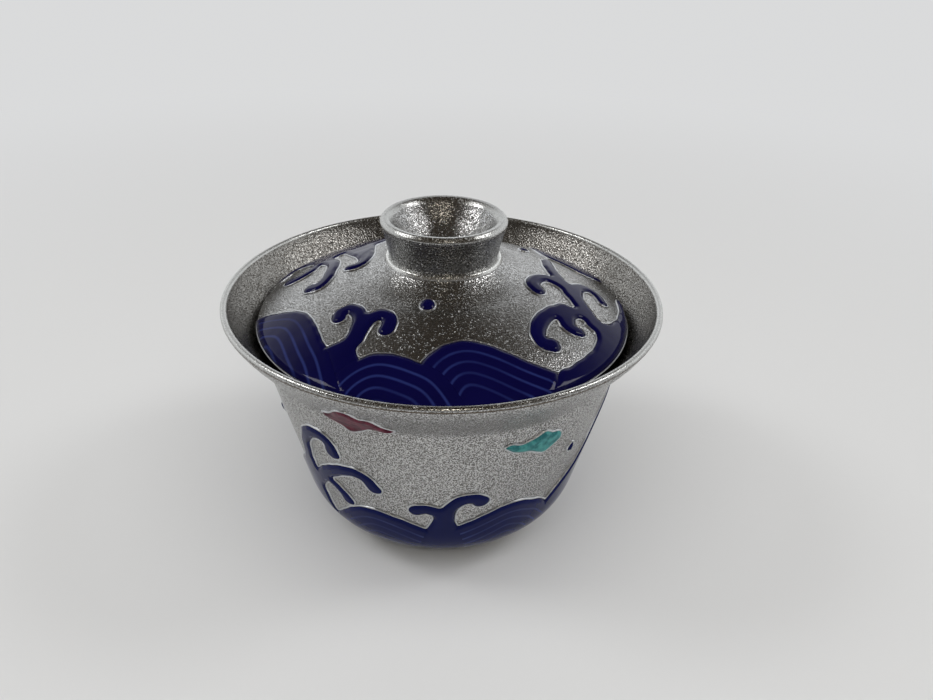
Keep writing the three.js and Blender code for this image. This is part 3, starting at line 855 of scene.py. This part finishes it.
def crown(to_silver, to_border):
    """Height of the enamel: a rounded rise from bare silver, and a shallow valley between two cells."""
    climb = np.clip(to_silver / ENAMEL_SHOULDER, 0, 1)
    rise = np.sin(climb * math.pi / 2)
    valley = SEAM_DEPTH * np.exp(-((to_border / SEAM_WIDTH) ** 2)) * climb
    return ENAMEL_EDGE + (ENAMEL_CROWN - ENAMEL_EDGE) * rise - valley


def cell_mesh(chart, border, silver, depth):
    """Points and faces of the cell inside a border, and the depth below its crest at each point."""
    carved = carve(border)
    sample = sampler(carved)
    triangles = carved[3]
    u, v = sample(chart.u), sample(chart.v)
    top = chart.place(u, v, crown(-sample(silver), -sample(border)))
    base = chart.place(u, v, np.full(u.shape, ENAMEL_ROOT))
    count = len(u)
    a, b = rim_edges(triangles).T
    sides = np.stack([b, a, a + count, b + count], axis=-1)
    faces = [*triangles.tolist(), *(triangles[:, ::-1] + count).tolist(), *sides.tolist()]
    return np.concatenate([top, base]), faces, np.tile(sample(depth), 2)


print("enamel height in mm:", ENAMEL_EDGE, "at the edge,", crown(2.0, 2.0), "in the middle")

# %% [markdown]
# ### Cells as pieces
# On a hill, thin lines of slip follow the crest under the glass. The finish will draw them, and all it needs
# is how far below the crest each point lies. A UV map could carry that, but a plain number on each corner,
# an attribute, is easier to read back. The number is blurred, so that the lines turn gently.

# %% Make a cell a piece
NO_LINES = 99.0
SHARP_ANGLE = 40
DEPTH_BLUR = 7


def cell_piece(name, made, body, node, slot, turn=0.0):
    """A cell as a piece of the scene, turned about the axis by an angle in degrees."""
    points, faces, depth = made
    c, s = math.cos(math.radians(turn)), math.sin(math.radians(turn))
    points = points @ np.array([[c, s, 0], [-s, c, 0], [0, 0, 1]])
    piece = mesh_piece(name, points, faces, body, slot)
    piece.data.set_sharp_from_angle(angle=math.radians(SHARP_ANGLE))
    carried = piece.data.attributes.new("depth", "FLOAT", "POINT")
    carried.data.foreach_set("value", depth.astype(np.float32))
    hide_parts(node)
    return piece


def blurred(values, axis):
    """Each value mixed with its neighbours along one axis."""
    reach = np.arange(-DEPTH_BLUR, DEPTH_BLUR + 1)
    weights = np.exp(-2 * (reach / DEPTH_BLUR) ** 2)
    margins = [(0, 0), (0, 0)]
    margins[axis] = (DEPTH_BLUR, DEPTH_BLUR)
    padded = np.pad(values, margins, mode="edge")
    return np.apply_along_axis(np.convolve, axis, padded, weights / weights.sum(), "valid")


def crest_depth(x, y, motif):
    """How far below the edge of a hill a point lies; crests, clouds and drops have no lines."""
    if motif.get("strokes") or not motif.get("fields"):
        return np.full(x.shape, NO_LINES)
    hill = motif["fields"][0]
    edge, _ = spline(hill["edge"], FIELD_STEP)
    depth = line_distance(x, y, edge) * np.where(field_distance(x, y, hill) < 0, 1, -1)
    return blurred(blurred(depth, 0), 1)


print("the depth is blurred over", round((2 * DEPTH_BLUR + 1) * GRID, 1), "mm")

# %% [markdown]
# ### Cells of the lid
# A painter fills the nearest wave first and lets those behind end at it. The cells could be overlapped and
# hidden behind each other, but then their glass would cross. So each cell is cut by the cells in front of
# it, a hair apart, and by the lid's edge.

# %% Cells of the lid
SEAM = 0.02
LID_ENAMEL_EDGE = LID_RADIUS - 0.35

lid_drawn = {
    name: lid_chart.true_distance(motif_distance(lid_chart.u, lid_chart.v, motif))
    for name, motif in LID_MOTIFS.items()
}
lid_limit = np.hypot(lid_chart.u, lid_chart.v) - LID_ENAMEL_EDGE
lid_cover = np.maximum(np.minimum.reduce(list(lid_drawn.values())), lid_limit)
lid_cells = []
for name, motif in LID_MOTIFS.items():
    fronts = [SEAM - lid_drawn[front] for front in LID_FRONTS.get(name, [])]
    border = np.maximum.reduce([lid_drawn[name], lid_limit, *fronts])
    made = cell_mesh(lid_chart, border, lid_cover, crest_depth(lid_chart.u, lid_chart.v, motif))
    lid_cells.append(cell_piece(f"enamel_lid_{name}", made, "lid", f"lid_{name}", "cobalt_enamel"))
print("lid cells:", len(lid_cells), "with", sum(len(cell.data.polygons) for cell in lid_cells), "faces")

# %% [markdown]
# ### Cells of the bowl
# The bowl's cells are cut in the same way. The group of waves repeats, and the neighbouring groups overlap
# its ends, so those are measured too before anything is cut. An Array modifier could turn one group into
# three, but each cell is a piece of its own, so every copy is made and turned by itself. The sea ends at a
# circle low on the belly.

# %% Cells of the bowl
SEA_RADIUS = 28
FACING = 0.3
SLOTS = {"red_cloud": "red_enamel", "green_cloud": "turquoise_enamel"}


def bowl_plane(chart, motif, group):
    """A chart's points in the drawing plane of a motif, and whether they lie on its side of the bowl."""
    turn = chart.u - math.radians(motif["azimuth"] + group * GROUP_TURN)
    radius = bowl_wall.along(chart.v, bowl_wall.profile[:, 0])
    height = bowl_wall.along(chart.v, bowl_wall.profile[:, 1]) - motif.get("height", 0)
    return radius * np.sin(turn), height, np.cos(turn) > FACING


def bowl_drawn(chart, name, group):
    motif = BOWL_MOTIFS[name]
    x, y, seen = bowl_plane(chart, motif, group)
    return np.where(seen, chart.true_distance(motif_distance(x, y, motif)), FAR)


def sea_limit(chart):
    return bowl_wall.run_at_radius(SEA_RADIUS) - chart.v


def bowl_cover(chart):
    """Everything that is drawn on a stretch of the bowl, above the lower edge of the sea."""
    drawn = [bowl_drawn(chart, name, group) for name in BOWL_MOTIFS for group in (-1, 0, 1)]
    return np.maximum(np.minimum.reduce(drawn), sea_limit(chart))


group_cover = bowl_cover(group_chart)
bowl_cells = {name: [] for name in BOWL_MOTIFS}
for name, motif in BOWL_MOTIFS.items():
    fronts = [SEAM - bowl_drawn(group_chart, *front) for front in BOWL_FRONTS.get(name, [])]
    own = bowl_drawn(group_chart, name, 0)
    border = np.maximum.reduce([own, sea_limit(group_chart), *fronts])
    x, y, _ = bowl_plane(group_chart, motif, 0)
    made = cell_mesh(group_chart, border, group_cover, crest_depth(x, y, motif))
    for group in range(GROUP_COUNT):
        label = f"{name}_{group + 1}"
        slot = SLOTS.get(name, "cobalt_enamel")
        piece = cell_piece(f"enamel_{label}", made, "bowl", f"bowl_{label}", slot, group * GROUP_TURN)
        bowl_cells[name].append(piece)
bowl_faces = sum(len(cell.data.polygons) for cells in bowl_cells.values() for cell in cells)
print("bowl cells:", sum(map(len, bowl_cells.values())), "with", bowl_faces, "faces")

# %% [markdown]
# ## Silver ridges
# A raised line of slip runs round all that is covered, and the silver on it stays smooth and pale. Its path
# is the outline of the cover, a little outside the enamel. The outline's corners follow the grid, so each
# ring is smoothed a little and spaced out evenly before anything is swept along it.

# %% Find the paths
RIDGE_STEP = 0.45
RIDGE_LEAST_STEPS = 12
RIDGE_SMOOTHING = 3


def closed_paths(triangles):
    """The rims of a carved part, each as a ring of corner numbers."""
    following = dict(rim_edges(triangles).tolist())
    while following:
        start, corner = following.popitem()
        path = [start]
        while corner != start:
            path.append(corner)
            corner = following.pop(corner)
        yield path


def even_ring(points):
    """A closed ring smoothed and spaced out evenly."""
    for _ in range(RIDGE_SMOOTHING):
        points = (np.roll(points, 1, axis=0) + 2 * points + np.roll(points, -1, axis=0)) / 4
    closed = np.concatenate([points, points[:1]])
    run = np.concatenate([[0], np.cumsum(np.linalg.norm(np.diff(closed[:, :3], axis=0), axis=1))])
    count = max(RIDGE_LEAST_STEPS, round(run[-1] / RIDGE_STEP))
    stops = np.linspace(0, run[-1], count, endpoint=False)
    return np.stack([np.interp(stops, run, column) for column in closed.T], axis=1)


print("rings round the small disc:", len(list(closed_paths(small_disc))))

# %% [markdown]
# ### Sweeping the ridges
# A curve object with a bevel could follow each ring, but a bevel doesn't know which way the wall faces and
# would lean on the steep parts. So an oval section is swept along the ring by the wall's own directions.
# On the bowl the cover of one third is laid three times round, so that the ridges close on themselves.

# %% Sweep the ridges
RIDGE_OUTSIDE = 0.24
RIDGE_HALF_WIDTH = 0.21
RIDGE_HEIGHT = 0.30
RIDGE_SIDES = 8
ROUND_START = -180


def ridge_piece(name, chart, cover, body, wraps=False):
    """All the ridges round a cover, as one piece."""
    carved = carve(cover - RIDGE_OUTSIDE, wraps)
    sample = sampler(carved)
    u, v = sample(chart.u), sample(chart.v)
    ground = chart.place(u, v, 0.0)
    out = chart.place(u, v, 1.0) - ground
    turns = np.arange(RIDGE_SIDES) * 2 * math.pi / RIDGE_SIDES
    points, faces = [], []
    for path in closed_paths(carved[3]):
        ring = even_ring(np.concatenate([ground[path], out[path]], axis=1))
        middle, up = ring[:, :3], ring[:, 3:]
        up = up / np.linalg.norm(up, axis=1, keepdims=True)
        along = np.roll(middle, -1, axis=0) - np.roll(middle, 1, axis=0)
        side = np.cross(along, up)
        side /= np.linalg.norm(side, axis=1, keepdims=True)
        wide = RIDGE_HALF_WIDTH * side[:, None] * np.cos(turns)[:, None]
        high = RIDGE_HEIGHT * up[:, None] * np.sin(turns)[:, None]
        index = np.arange(len(ring) * RIDGE_SIDES).reshape(len(ring), RIDGE_SIDES)
        index += len(points) * RIDGE_SIDES
        ahead, beside = np.roll(index, -1, axis=0), np.roll(index, -1, axis=1)
        corner = np.roll(ahead, -1, axis=1)
        faces.extend(np.stack([index, ahead, corner, beside], axis=-1).reshape(-1, 4).tolist())
        points.extend(middle[:, None] + wide + high)
    return mesh_piece(name, np.concatenate(points), faces, body, "silvered_ceramic")


third_chart = bowl_chart(ROUND_START, ROUND_START + GROUP_TURN)
third_cover = bowl_cover(third_chart)[:, :-1]
round_cover = np.concatenate([np.tile(third_cover, GROUP_COUNT), third_cover[:, :1]], axis=1)
round_angles = np.linspace(-math.pi, math.pi, round_cover.shape[1])
round_chart = Chart(round_angles, third_chart.v[:, 0], bowl_wall.place)
lid_ridges = ridge_piece("lid_ridges", lid_chart, lid_cover, "lid")
bowl_ridges = ridge_piece("bowl_ridges", round_chart, round_cover, "bowl", wraps=True)
print("ridge faces: lid", len(lid_ridges.data.polygons), "bowl", len(bowl_ridges.data.polygons))

# %% [markdown]
# ## Finishes
# Every finish is made of nodes, so it needs no pictures and has no seams. Wiring nodes by hand in the
# editor is the usual way to learn them. In a script, a small helper adds a node and wires it in one call:
# a value that is a socket gets linked, and any other value is set on the input itself.

# %% Node helpers
def new_finish(name):
    made = bpy.data.materials.new(name)
    made.use_nodes = True
    return made


def feed(finish, socket, value):
    """Links a socket to an input, or sets any other value on it; a colour gets its alpha."""
    if isinstance(value, bpy.types.NodeSocket):
        finish.node_tree.links.new(value, socket)
    else:
        socket.default_value = (*value, 1.0) if socket.type == "RGBA" else value


def node(finish, kind, inputs=None, **settings):
    """A new node with its settings, and its inputs by name or number."""
    made = finish.node_tree.nodes.new(kind)
    for name, value in settings.items():
        setattr(made, name, value)
    for name, value in (inputs or {}).items():
        feed(finish, made.inputs[name], value)
    return made


def surface(finish, **inputs):
    """Feeds inputs of the finish's own shader; underscores stand for spaces."""
    shader = finish.node_tree.nodes["Principled BSDF"]
    for name, value in inputs.items():
        feed(finish, shader.inputs[name.replace("_", " ")], value)


def math_node(finish, operation, first, second=0.0):
    return node(finish, "ShaderNodeMath", {0: first, 1: second}, operation=operation).outputs[0]


def vector_node(finish, operation, first, second=(0, 0, 0)):
    return node(finish, "ShaderNodeVectorMath", {0: first, 1: second}, operation=operation).outputs


print("finishes are made with Blender", bpy.app.version_string)

# %% [markdown]
# ### Noise, steps and mixes
# Almost every finish here is a noise with a size in metres, a smooth step that picks a part of it, and a mix
# of two colours by that step. The noise is fixed to the piece's own coordinates, so the grains stay on the
# lid when it lifts. A bump node then turns the same noise into light and shade.

# %% Noise, steps and mixes
def place_in(finish):
    """Where a point lies in the piece's own coordinates, in metres."""
    return node(finish, "ShaderNodeTexCoord").outputs["Object"]


def noise(finish, size, detail=2.0, roughness=0.5):
    """Noise whose blobs are about this size in metres, fixed to the piece."""
    inputs = {"Vector": place_in(finish), "Scale": 1 / size, "Detail": detail, "Roughness": roughness}
    return node(finish, "ShaderNodeTexNoise", inputs).outputs["Fac"]


def ramp(finish, value, low, high, out_low=0.0, out_high=1.0):
    """A smooth step of a value from one level to another."""
    inputs = {"Value": value, "From Min": low, "From Max": high, "To Min": out_low, "To Max": out_high}
    return node(finish, "ShaderNodeMapRange", inputs, interpolation_type="SMOOTHSTEP").outputs["Result"]


def mixed(finish, share, first, second):
    """One colour turning into another."""
    return node(finish, "ShaderNodeMix", {0: share, 6: first, 7: second}, data_type="RGBA").outputs[2]


def bump(finish, height, distance, strength=1.0):
    inputs = {"Height": height, "Distance": distance, "Strength": strength}
    return node(finish, "ShaderNodeBump", inputs).outputs["Normal"]


def dress(pieces, finish):
    """Gives a finish to pieces."""
    for piece in pieces:
        piece.data.materials.append(finish)


print("pieces to dress:", 3 + len(lid_cells) + sum(map(len, bowl_cells.values())) + 2)

# %% [markdown]
# ### Places on the silver
# The silver isn't the same all over. It is worn bright on the lip, the knob's rim and the collar, a thin
# brown line runs round the outside under the lip, and the inside of the bowl is painted darker, as painted
# shade.
# Painted vertex colours could mark these places. Height, radius and the way a wall faces mark them too, and
# stay sharp at any size of the mesh.

# %% Places on the silver
PER_MM = (1 / MM, 1 / MM, 0)
INNER_FACING = -10
LIP_LINE_FADE = (0.3, 0.1)
LIP_LINE_RADII = (RIM_RADIUS - 0.9, RIM_RADIUS - 0.6)


def height_in(finish):
    """How high a point of the piece lies, in mm."""
    height = node(finish, "ShaderNodeSeparateXYZ", {0: place_in(finish)}).outputs["Z"]
    return math_node(finish, "MULTIPLY", height, 1 / MM)


def from_axis(finish):
    """The level step from the axis to a point of the piece, in mm."""
    return vector_node(finish, "MULTIPLY", place_in(finish), PER_MM)[0]


def inner_side(finish):
    """1 where the surface faces the axis, 0 where it faces away."""
    normal = node(finish, "ShaderNodeTexCoord").outputs["Normal"]
    facing = vector_node(finish, "DOT_PRODUCT", from_axis(finish), normal)["Value"]
    return ramp(finish, facing, 0, INNER_FACING)


def lip_line(finish, level):
    """1 on a thin line at this height on the outside of the lip, 0 elsewhere."""
    away = math_node(finish, "ABSOLUTE", math_node(finish, "SUBTRACT", height_in(finish), level))
    radius = vector_node(finish, "LENGTH", from_axis(finish))["Value"]
    outside = ramp(finish, radius, *LIP_LINE_RADII)
    return math_node(finish, "MULTIPLY", outside, ramp(finish, away, *LIP_LINE_FADE))


print("the lip line lies outside a radius of", LIP_LINE_RADII[0], "mm")

# %% [markdown]
# ### Grained silver
# The silver shrank into fine grains in the kiln. Each grain is a tiny mound, brighter on its crown and
# tarnished in the gaps. Modelled grains would need millions of faces, so one noise drives the bump, the
# colour and the roughness together. Some grains, picked at random, tilt more than the rest: these are the
# sparks that flash where a lamp would otherwise not be seen.

# %% Grained silver
GRAIN = 0.00030
GRAIN_HEIGHT = 0.0005
GRAIN_LEVELS = (0.36, 0.64)
GRAIN_ROUGHNESS = (0.32, 0.13)
SPARK_LEVELS = (0.84, 0.90)
SPARK_DEPTHS = (0.24, 1.0)
# Colours of the gaps and of the crowns
OUTER_SILVER = ((0.165, 0.160, 0.152), (0.59, 0.59, 0.585))
# Colours of the gaps and of the crowns inside the bowl, darkened as painted shade
SHADED_INNER_SILVER = ((0.090, 0.081, 0.070), (0.38, 0.37, 0.35))
# A thin brown line round the outside under the lip
LIP_LINE_BROWN = (0.10, 0.08, 0.06)
WORN_BELOW = 0.2
WORN_ABOVE = 0.1
WORN_DEPTH = 0.5
WORN_BLUE = 0.97
LIP_LINE = 59.0
LIP_WORN = 59.5
RIM_WORN = 76.6
COLLAR_WORN = lid_foot + LID_PAD_HEIGHT - 0.2


def random_cells(finish, size):
    """A random number from 0 to 1 for each cell of about this size in metres."""
    cells = node(finish, "ShaderNodeTexVoronoi", {"Vector": place_in(finish), "Scale": 1 / size})
    return node(finish, "ShaderNodeSeparateColor", {0: cells.outputs["Color"]}).outputs[0]


def grained_silver(name, worn_level, worn_tone, line_level=None):
    """Silver in fine grains, worn smoother above a level; a bowl also has its lip line and painted shade on
    its inner side.
    """
    finish = new_finish(name)
    grain = noise(finish, GRAIN, detail=1.0)
    crowns = ramp(finish, grain, *GRAIN_LEVELS)
    colour = mixed(finish, crowns, *OUTER_SILVER)
    if line_level:
        # The inside of the bowl is painted darker, as painted shade
        colour = mixed(finish, inner_side(finish), colour, mixed(finish, crowns, *SHADED_INNER_SILVER))
        colour = mixed(finish, lip_line(finish, line_level), colour, LIP_LINE_BROWN)
    worn = ramp(finish, height_in(finish), worn_level - WORN_BELOW, worn_level + WORN_ABOVE)
    colour = mixed(finish, worn, colour, (worn_tone, worn_tone, WORN_BLUE * worn_tone))
    sparks = ramp(finish, random_cells(finish, GRAIN), *SPARK_LEVELS)
    tilt = ramp(finish, sparks, 0, 1, *SPARK_DEPTHS)
    depth = math_node(finish, "MULTIPLY", tilt, ramp(finish, worn, 0, 1, 1.0, WORN_DEPTH))
    surface(
        finish,
        Base_Color=colour,
        Roughness=ramp(finish, crowns, 0, 1, *GRAIN_ROUGHNESS),
        Metallic=1.0,
        Normal=bump(finish, grain, GRAIN_HEIGHT, depth),
    )
    return finish


dress([lid], grained_silver("collar_silver", COLLAR_WORN, 0.78))
dress([bowl], grained_silver("lip_silver", LIP_WORN, 0.52, LIP_LINE))
dress([knob], grained_silver("rim_silver", RIM_WORN, 0.46))
print("grained silver on", bowl.name, lid.name, knob.name)

# %% [markdown]
# ### Silver of the ridges
# Fingers and cloths touch the ridges first, so their silver is smoother and paler than the ground. The
# ground's finish could be reused with other numbers, but its sparks would break up so thin a line. A noise
# of two near tones, with a weak bump, is enough here.

# %% Ridge silver
RIDGE_GRAIN = 0.0005
RIDGE_GRAIN_HEIGHT = 0.00015
RIDGE_BUMP = 0.5
RIDGE_ROUGHNESS = 0.30
RIDGE_TONES = ((0.46, 0.47, 0.49), (0.74, 0.75, 0.76))


def ridge_silver():
    finish = new_finish("ridge_silver")
    grain = noise(finish, RIDGE_GRAIN, detail=1.0)
    colour = mixed(finish, grain, *RIDGE_TONES)
    grained = bump(finish, grain, RIDGE_GRAIN_HEIGHT, RIDGE_BUMP)
    surface(finish, Base_Color=colour, Roughness=RIDGE_ROUGHNESS, Metallic=1.0, Normal=grained)
    return finish


dress([lid_ridges, bowl_ridges], ridge_silver())
print("ridge silver on", lid_ridges.name, bowl_ridges.name)

# %% [markdown]
# ### Blue enamel
# The blue is glossy glass, nearly black-blue on the lid and lighter on the bowl. It is one enamel: the lid's
# tones are darkened as painted shade and the bowl's lightened as painted light, to suit how each is lit. Thin
# lines of slip run under it along the hills, where the glass is thinner and looks paler. True glass with
# absorption would be slow and hard to steer, so the depth of the blue is painted under a glossy coat, and the
# number that rides on each corner says where the lines are. A slow ripple bends the reflections.

# %% Blue enamel
LINE_FIRST = 2.6
LINE_PITCH = 2.3
LINE_COUNT = 4
LINE_HALF_WIDTH = 0.42
LINE_CORE = 0.05
LINE_FADE_SIZE = 0.010
LINE_FADE_LEVELS = (0.36, 0.62)
LINE_FADE = (0.45, 1.0)
POOL_SIZE = 0.009
RIPPLE_SIZE = 0.004
RIPPLE_HEIGHT = 0.00012
RIPPLE_BUMP = 0.5
BLUE_ROUGHNESS = 0.06
# Colours of the deep pools, the shallow pools and the lines, and the index that sets the gloss
# The lid's colours are darkened as painted shade, the bowl's lightened as painted light, for one enamel
SHADED_LID_BLUE = ((0.0022, 0.0019, 0.030), (0.0034, 0.0030, 0.046), (0.017, 0.025, 0.12), 1.22)
LIT_BOWL_BLUE = ((0.003, 0.006, 0.056), (0.0045, 0.0085, 0.078), (0.034, 0.048, 0.17), 1.16)


def slip_lines(finish):
    """1 on the lines that follow the crest of a hill, 0 between them."""
    depth = node(finish, "ShaderNodeAttribute", attribute_name="depth").outputs["Fac"]
    from_first = math_node(finish, "SUBTRACT", depth, LINE_FIRST)
    steps = math_node(finish, "DIVIDE", from_first, LINE_PITCH)
    nearest = math_node(finish, "MINIMUM", math_node(finish, "ROUND", steps), LINE_COUNT - 1)
    nearest = math_node(finish, "MAXIMUM", nearest, 0.0)
    away = math_node(finish, "ABSOLUTE", math_node(finish, "SUBTRACT", steps, nearest))
    away = math_node(finish, "MULTIPLY", away, LINE_PITCH)
    return ramp(finish, away, LINE_HALF_WIDTH, LINE_CORE)


def blue_enamel(name, deep, shallow, line, gloss):
    """Glossy blue glass, uneven in depth, over paler lines of slip."""
    finish = new_finish(name)
    pooled = mixed(finish, noise(finish, POOL_SIZE), deep, shallow)
    fade = ramp(finish, noise(finish, LINE_FADE_SIZE, detail=1.0), *LINE_FADE_LEVELS, *LINE_FADE)
    colour = mixed(finish, math_node(finish, "MULTIPLY", slip_lines(finish), fade), pooled, line)
    ripple = bump(finish, noise(finish, RIPPLE_SIZE, detail=1.0), RIPPLE_HEIGHT, RIPPLE_BUMP)
    surface(finish, Base_Color=colour, Roughness=BLUE_ROUGHNESS, IOR=gloss, Normal=ripple)
    return finish


blue_names = [name for name in BOWL_MOTIFS if name not in SLOTS]
# The lid's blue carries painted shade and the bowl's blue painted light
dress(lid_cells, blue_enamel("shaded_lid_blue_enamel", *SHADED_LID_BLUE))
dress([cell for name in blue_names for cell in bowl_cells[name]], blue_enamel("lit_bowl_blue_enamel", *LIT_BOWL_BLUE))
print("blue enamel on", len(lid_cells), "cells of the lid and on", ", ".join(blue_names), "of the bowl")

# %% [markdown]
# ### Cloud enamels
# The clouds are painted in thick, duller strokes of dark red and turquoise. A flat colour would look like
# a sticker, and a picture of strokes would blur up close. A fine noise streaks two tones of each colour and
# roughens the surface, and the gloss is held low, because these enamels show hardly any reflection.

# %% Cloud enamels
STREAK_SIZE = 0.0016
STREAK_DETAIL = 3.0
STREAK_BREAKS = 0.6
STREAK_LEVELS = (0.35, 0.68)
STREAK_HEIGHT = 0.0002
STREAK_BUMP = 0.5
CLOUD_ROUGHNESS = 0.3
CLOUD_GLOSS = 0.08
# Dark and light tones of each cloud
CLOUD_TONES = {
    "red_cloud": ((0.072, 0.011, 0.025), (0.17, 0.036, 0.060)),
    "green_cloud": ((0.030, 0.165, 0.18), (0.09, 0.37, 0.36)),
}


def cloud_enamel(name, dark, light):
    """Painted in strokes, so the colour is streaked."""
    finish = new_finish(name)
    streaks = noise(finish, STREAK_SIZE, STREAK_DETAIL, STREAK_BREAKS)
    surface(
        finish,
        Base_Color=mixed(finish, ramp(finish, streaks, *STREAK_LEVELS), dark, light),
        Roughness=CLOUD_ROUGHNESS,
        Specular_IOR_Level=CLOUD_GLOSS,
        Normal=bump(finish, streaks, STREAK_HEIGHT, STREAK_BUMP),
    )
    return finish


for name, tones in CLOUD_TONES.items():
    dress(bowl_cells[name], cloud_enamel(SLOTS[name], *tones))
    print(SLOTS[name], "on", len(bowl_cells[name]), "clouds")

# %% [markdown]
# ## The sheet
# The bowl stands on a pale sheet that runs up behind it without an edge. A curved backdrop mesh is the usual
# studio way, but it shows in every reflection on the silver. A flat sheet is simpler: near the bowl it is
# lit and keeps the shadow, and farther out it turns into the even tone of the backdrop, for the camera and
# for reflections alike.

# %% Floor
BACKDROP = (0.70, 0.705, 0.71)
SHEET_TONES = ((0.72, 0.725, 0.725), (0.75, 0.755, 0.755))
SHEET_CLOUDS = 0.25
SHEET_ROUGHNESS = 0.6
SHEET_HALF = 6.0
SHEET_FADE = (0.12, 0.5)


def pale_sheet():
    """Lit paper near the bowl, and the backdrop's own tone farther out."""
    finish = new_finish("pale_sheet")
    tone = mixed(finish, noise(finish, SHEET_CLOUDS, detail=3.0), *SHEET_TONES)
    surface(finish, Base_Color=tone, Roughness=SHEET_ROUGHNESS)
    away = vector_node(finish, "LENGTH", place_in(finish))["Value"]
    path = node(finish, "ShaderNodeLightPath").outputs
    seen = math_node(finish, "MAXIMUM", path["Is Camera Ray"], path["Is Glossy Ray"])
    far = math_node(finish, "MULTIPLY", seen, ramp(finish, away, *SHEET_FADE))
    glow = node(finish, "ShaderNodeEmission", {"Color": BACKDROP}).outputs["Emission"]
    sheet = finish.node_tree.nodes["Principled BSDF"].outputs["BSDF"]
    both = node(finish, "ShaderNodeMixShader", {0: far, 1: sheet, 2: glow}).outputs["Shader"]
    feed(finish, finish.node_tree.nodes["Material Output"].inputs["Surface"], both)
    return finish


def add_floor():
    corners = [(-1, -1), (1, -1), (1, 1), (-1, 1)]
    mesh = bpy.data.meshes.new("floor")
    mesh.from_pydata([(x * SHEET_HALF, y * SHEET_HALF, 0) for x, y in corners], [], [(0, 1, 2, 3)])
    floor = link("floor", mesh)
    dress([floor], pale_sheet())
    return floor


floor = add_floor()
print("floor:", floor.name, "of", 2 * SHEET_HALF, "m")

# %% [markdown]
# ## Lamps
# A wide ceiling lamp lights the sheet and the enamel softly. In the silver it would show as one large white
# patch, so it is hidden from reflections. Two small lamps at the sides make the bright arcs on the rims, the
# hollow of the knob and the shoulders, and a small warm one at the front makes the sparks. Sun lamps would
# be easier to place, but an area lamp has a size, and its size is what one sees in silver.

# %% Lamps
LAMP_AIM = Vector((0, 0, 0.05))
WHITE = (1.0, 1.0, 1.0)
WARM = (1.0, 0.92, 0.78)


def add_lamp(name, place, size, power, colour=WHITE, in_reflections=True):
    """A soft rectangular lamp that faces the bowl; lengths are in metres and the power in watts."""
    light = bpy.data.lights.new(name, "AREA")
    light.shape = "RECTANGLE"
    light.size, light.size_y = size
    light.energy = power
    light.color = colour
    lamp = link(name, light)
    lamp.location = place
    lamp.rotation_euler = (LAMP_AIM - lamp.location).to_track_quat("-Z", "Y").to_euler()
    lamp.visible_glossy = in_reflections
    return lamp


lamps = [
    add_lamp("ceiling_lamp", (0, -0.65, 1.5), (2.2, 1.4), 19, in_reflections=False),
    add_lamp("left_lamp", (-1.4, 0.04, 1.42), (0.5, 0.5), 6.2),
    add_lamp("right_lamp", (1.42, 0.08, 1.4), (0.5, 0.5), 5.6),
    add_lamp("front_lamp", (0.15, -1.25, 1.29), (0.35, 0.12), 1.6, colour=WARM),
]
print("lamps:", [lamp.name for lamp in lamps])

# %% [markdown]
# ## The room
# Silver shows what is round it, so the room matters as much as the lamps. In the photograph the lid's front
# is dark and its sides and back are bright: the room is dim towards the camera and overhead, and bright at
# the back and the sides. A picture of a room could be wrapped round the world. Two smooth steps of the
# direction do the same without one, and the camera itself sees only the plain backdrop.

# %% Room
ROOM_DIM = (0.055, 0.044, 0.034)
ROOM_BRIGHT = (1.0, 1.02, 1.04)
OVERHEAD_FADE = (0.85, 0.30)
SIDE_SHARE = 0.7
BACK_FADE = (0.2, 0.95)
BACK_LEVELS = (0.03, 1.05)


def add_room():
    world = bpy.data.worlds.new("room")
    bpy.context.scene.world = world
    world.use_nodes = True
    direction = node(world, "ShaderNodeTexCoord").outputs["Generated"]
    split = node(world, "ShaderNodeSeparateXYZ", {0: direction}).outputs
    side = math_node(world, "MULTIPLY", math_node(world, "ABSOLUTE", split["X"]), SIDE_SHARE)
    turned = math_node(world, "ADD", split["Y"], side)
    low = ramp(world, split["Z"], *OVERHEAD_FADE)
    level = math_node(world, "MULTIPLY", low, ramp(world, turned, *BACK_FADE, *BACK_LEVELS))
    room = mixed(world, level, ROOM_DIM, ROOM_BRIGHT)
    seen = node(world, "ShaderNodeLightPath").outputs["Is Camera Ray"]
    feed(world, world.node_tree.nodes["Background"].inputs["Color"], mixed(world, seen, room, BACKDROP))
    return world


room = add_room()
bpy.context.scene.view_settings.view_transform = "Standard"
print("world:", room.name)
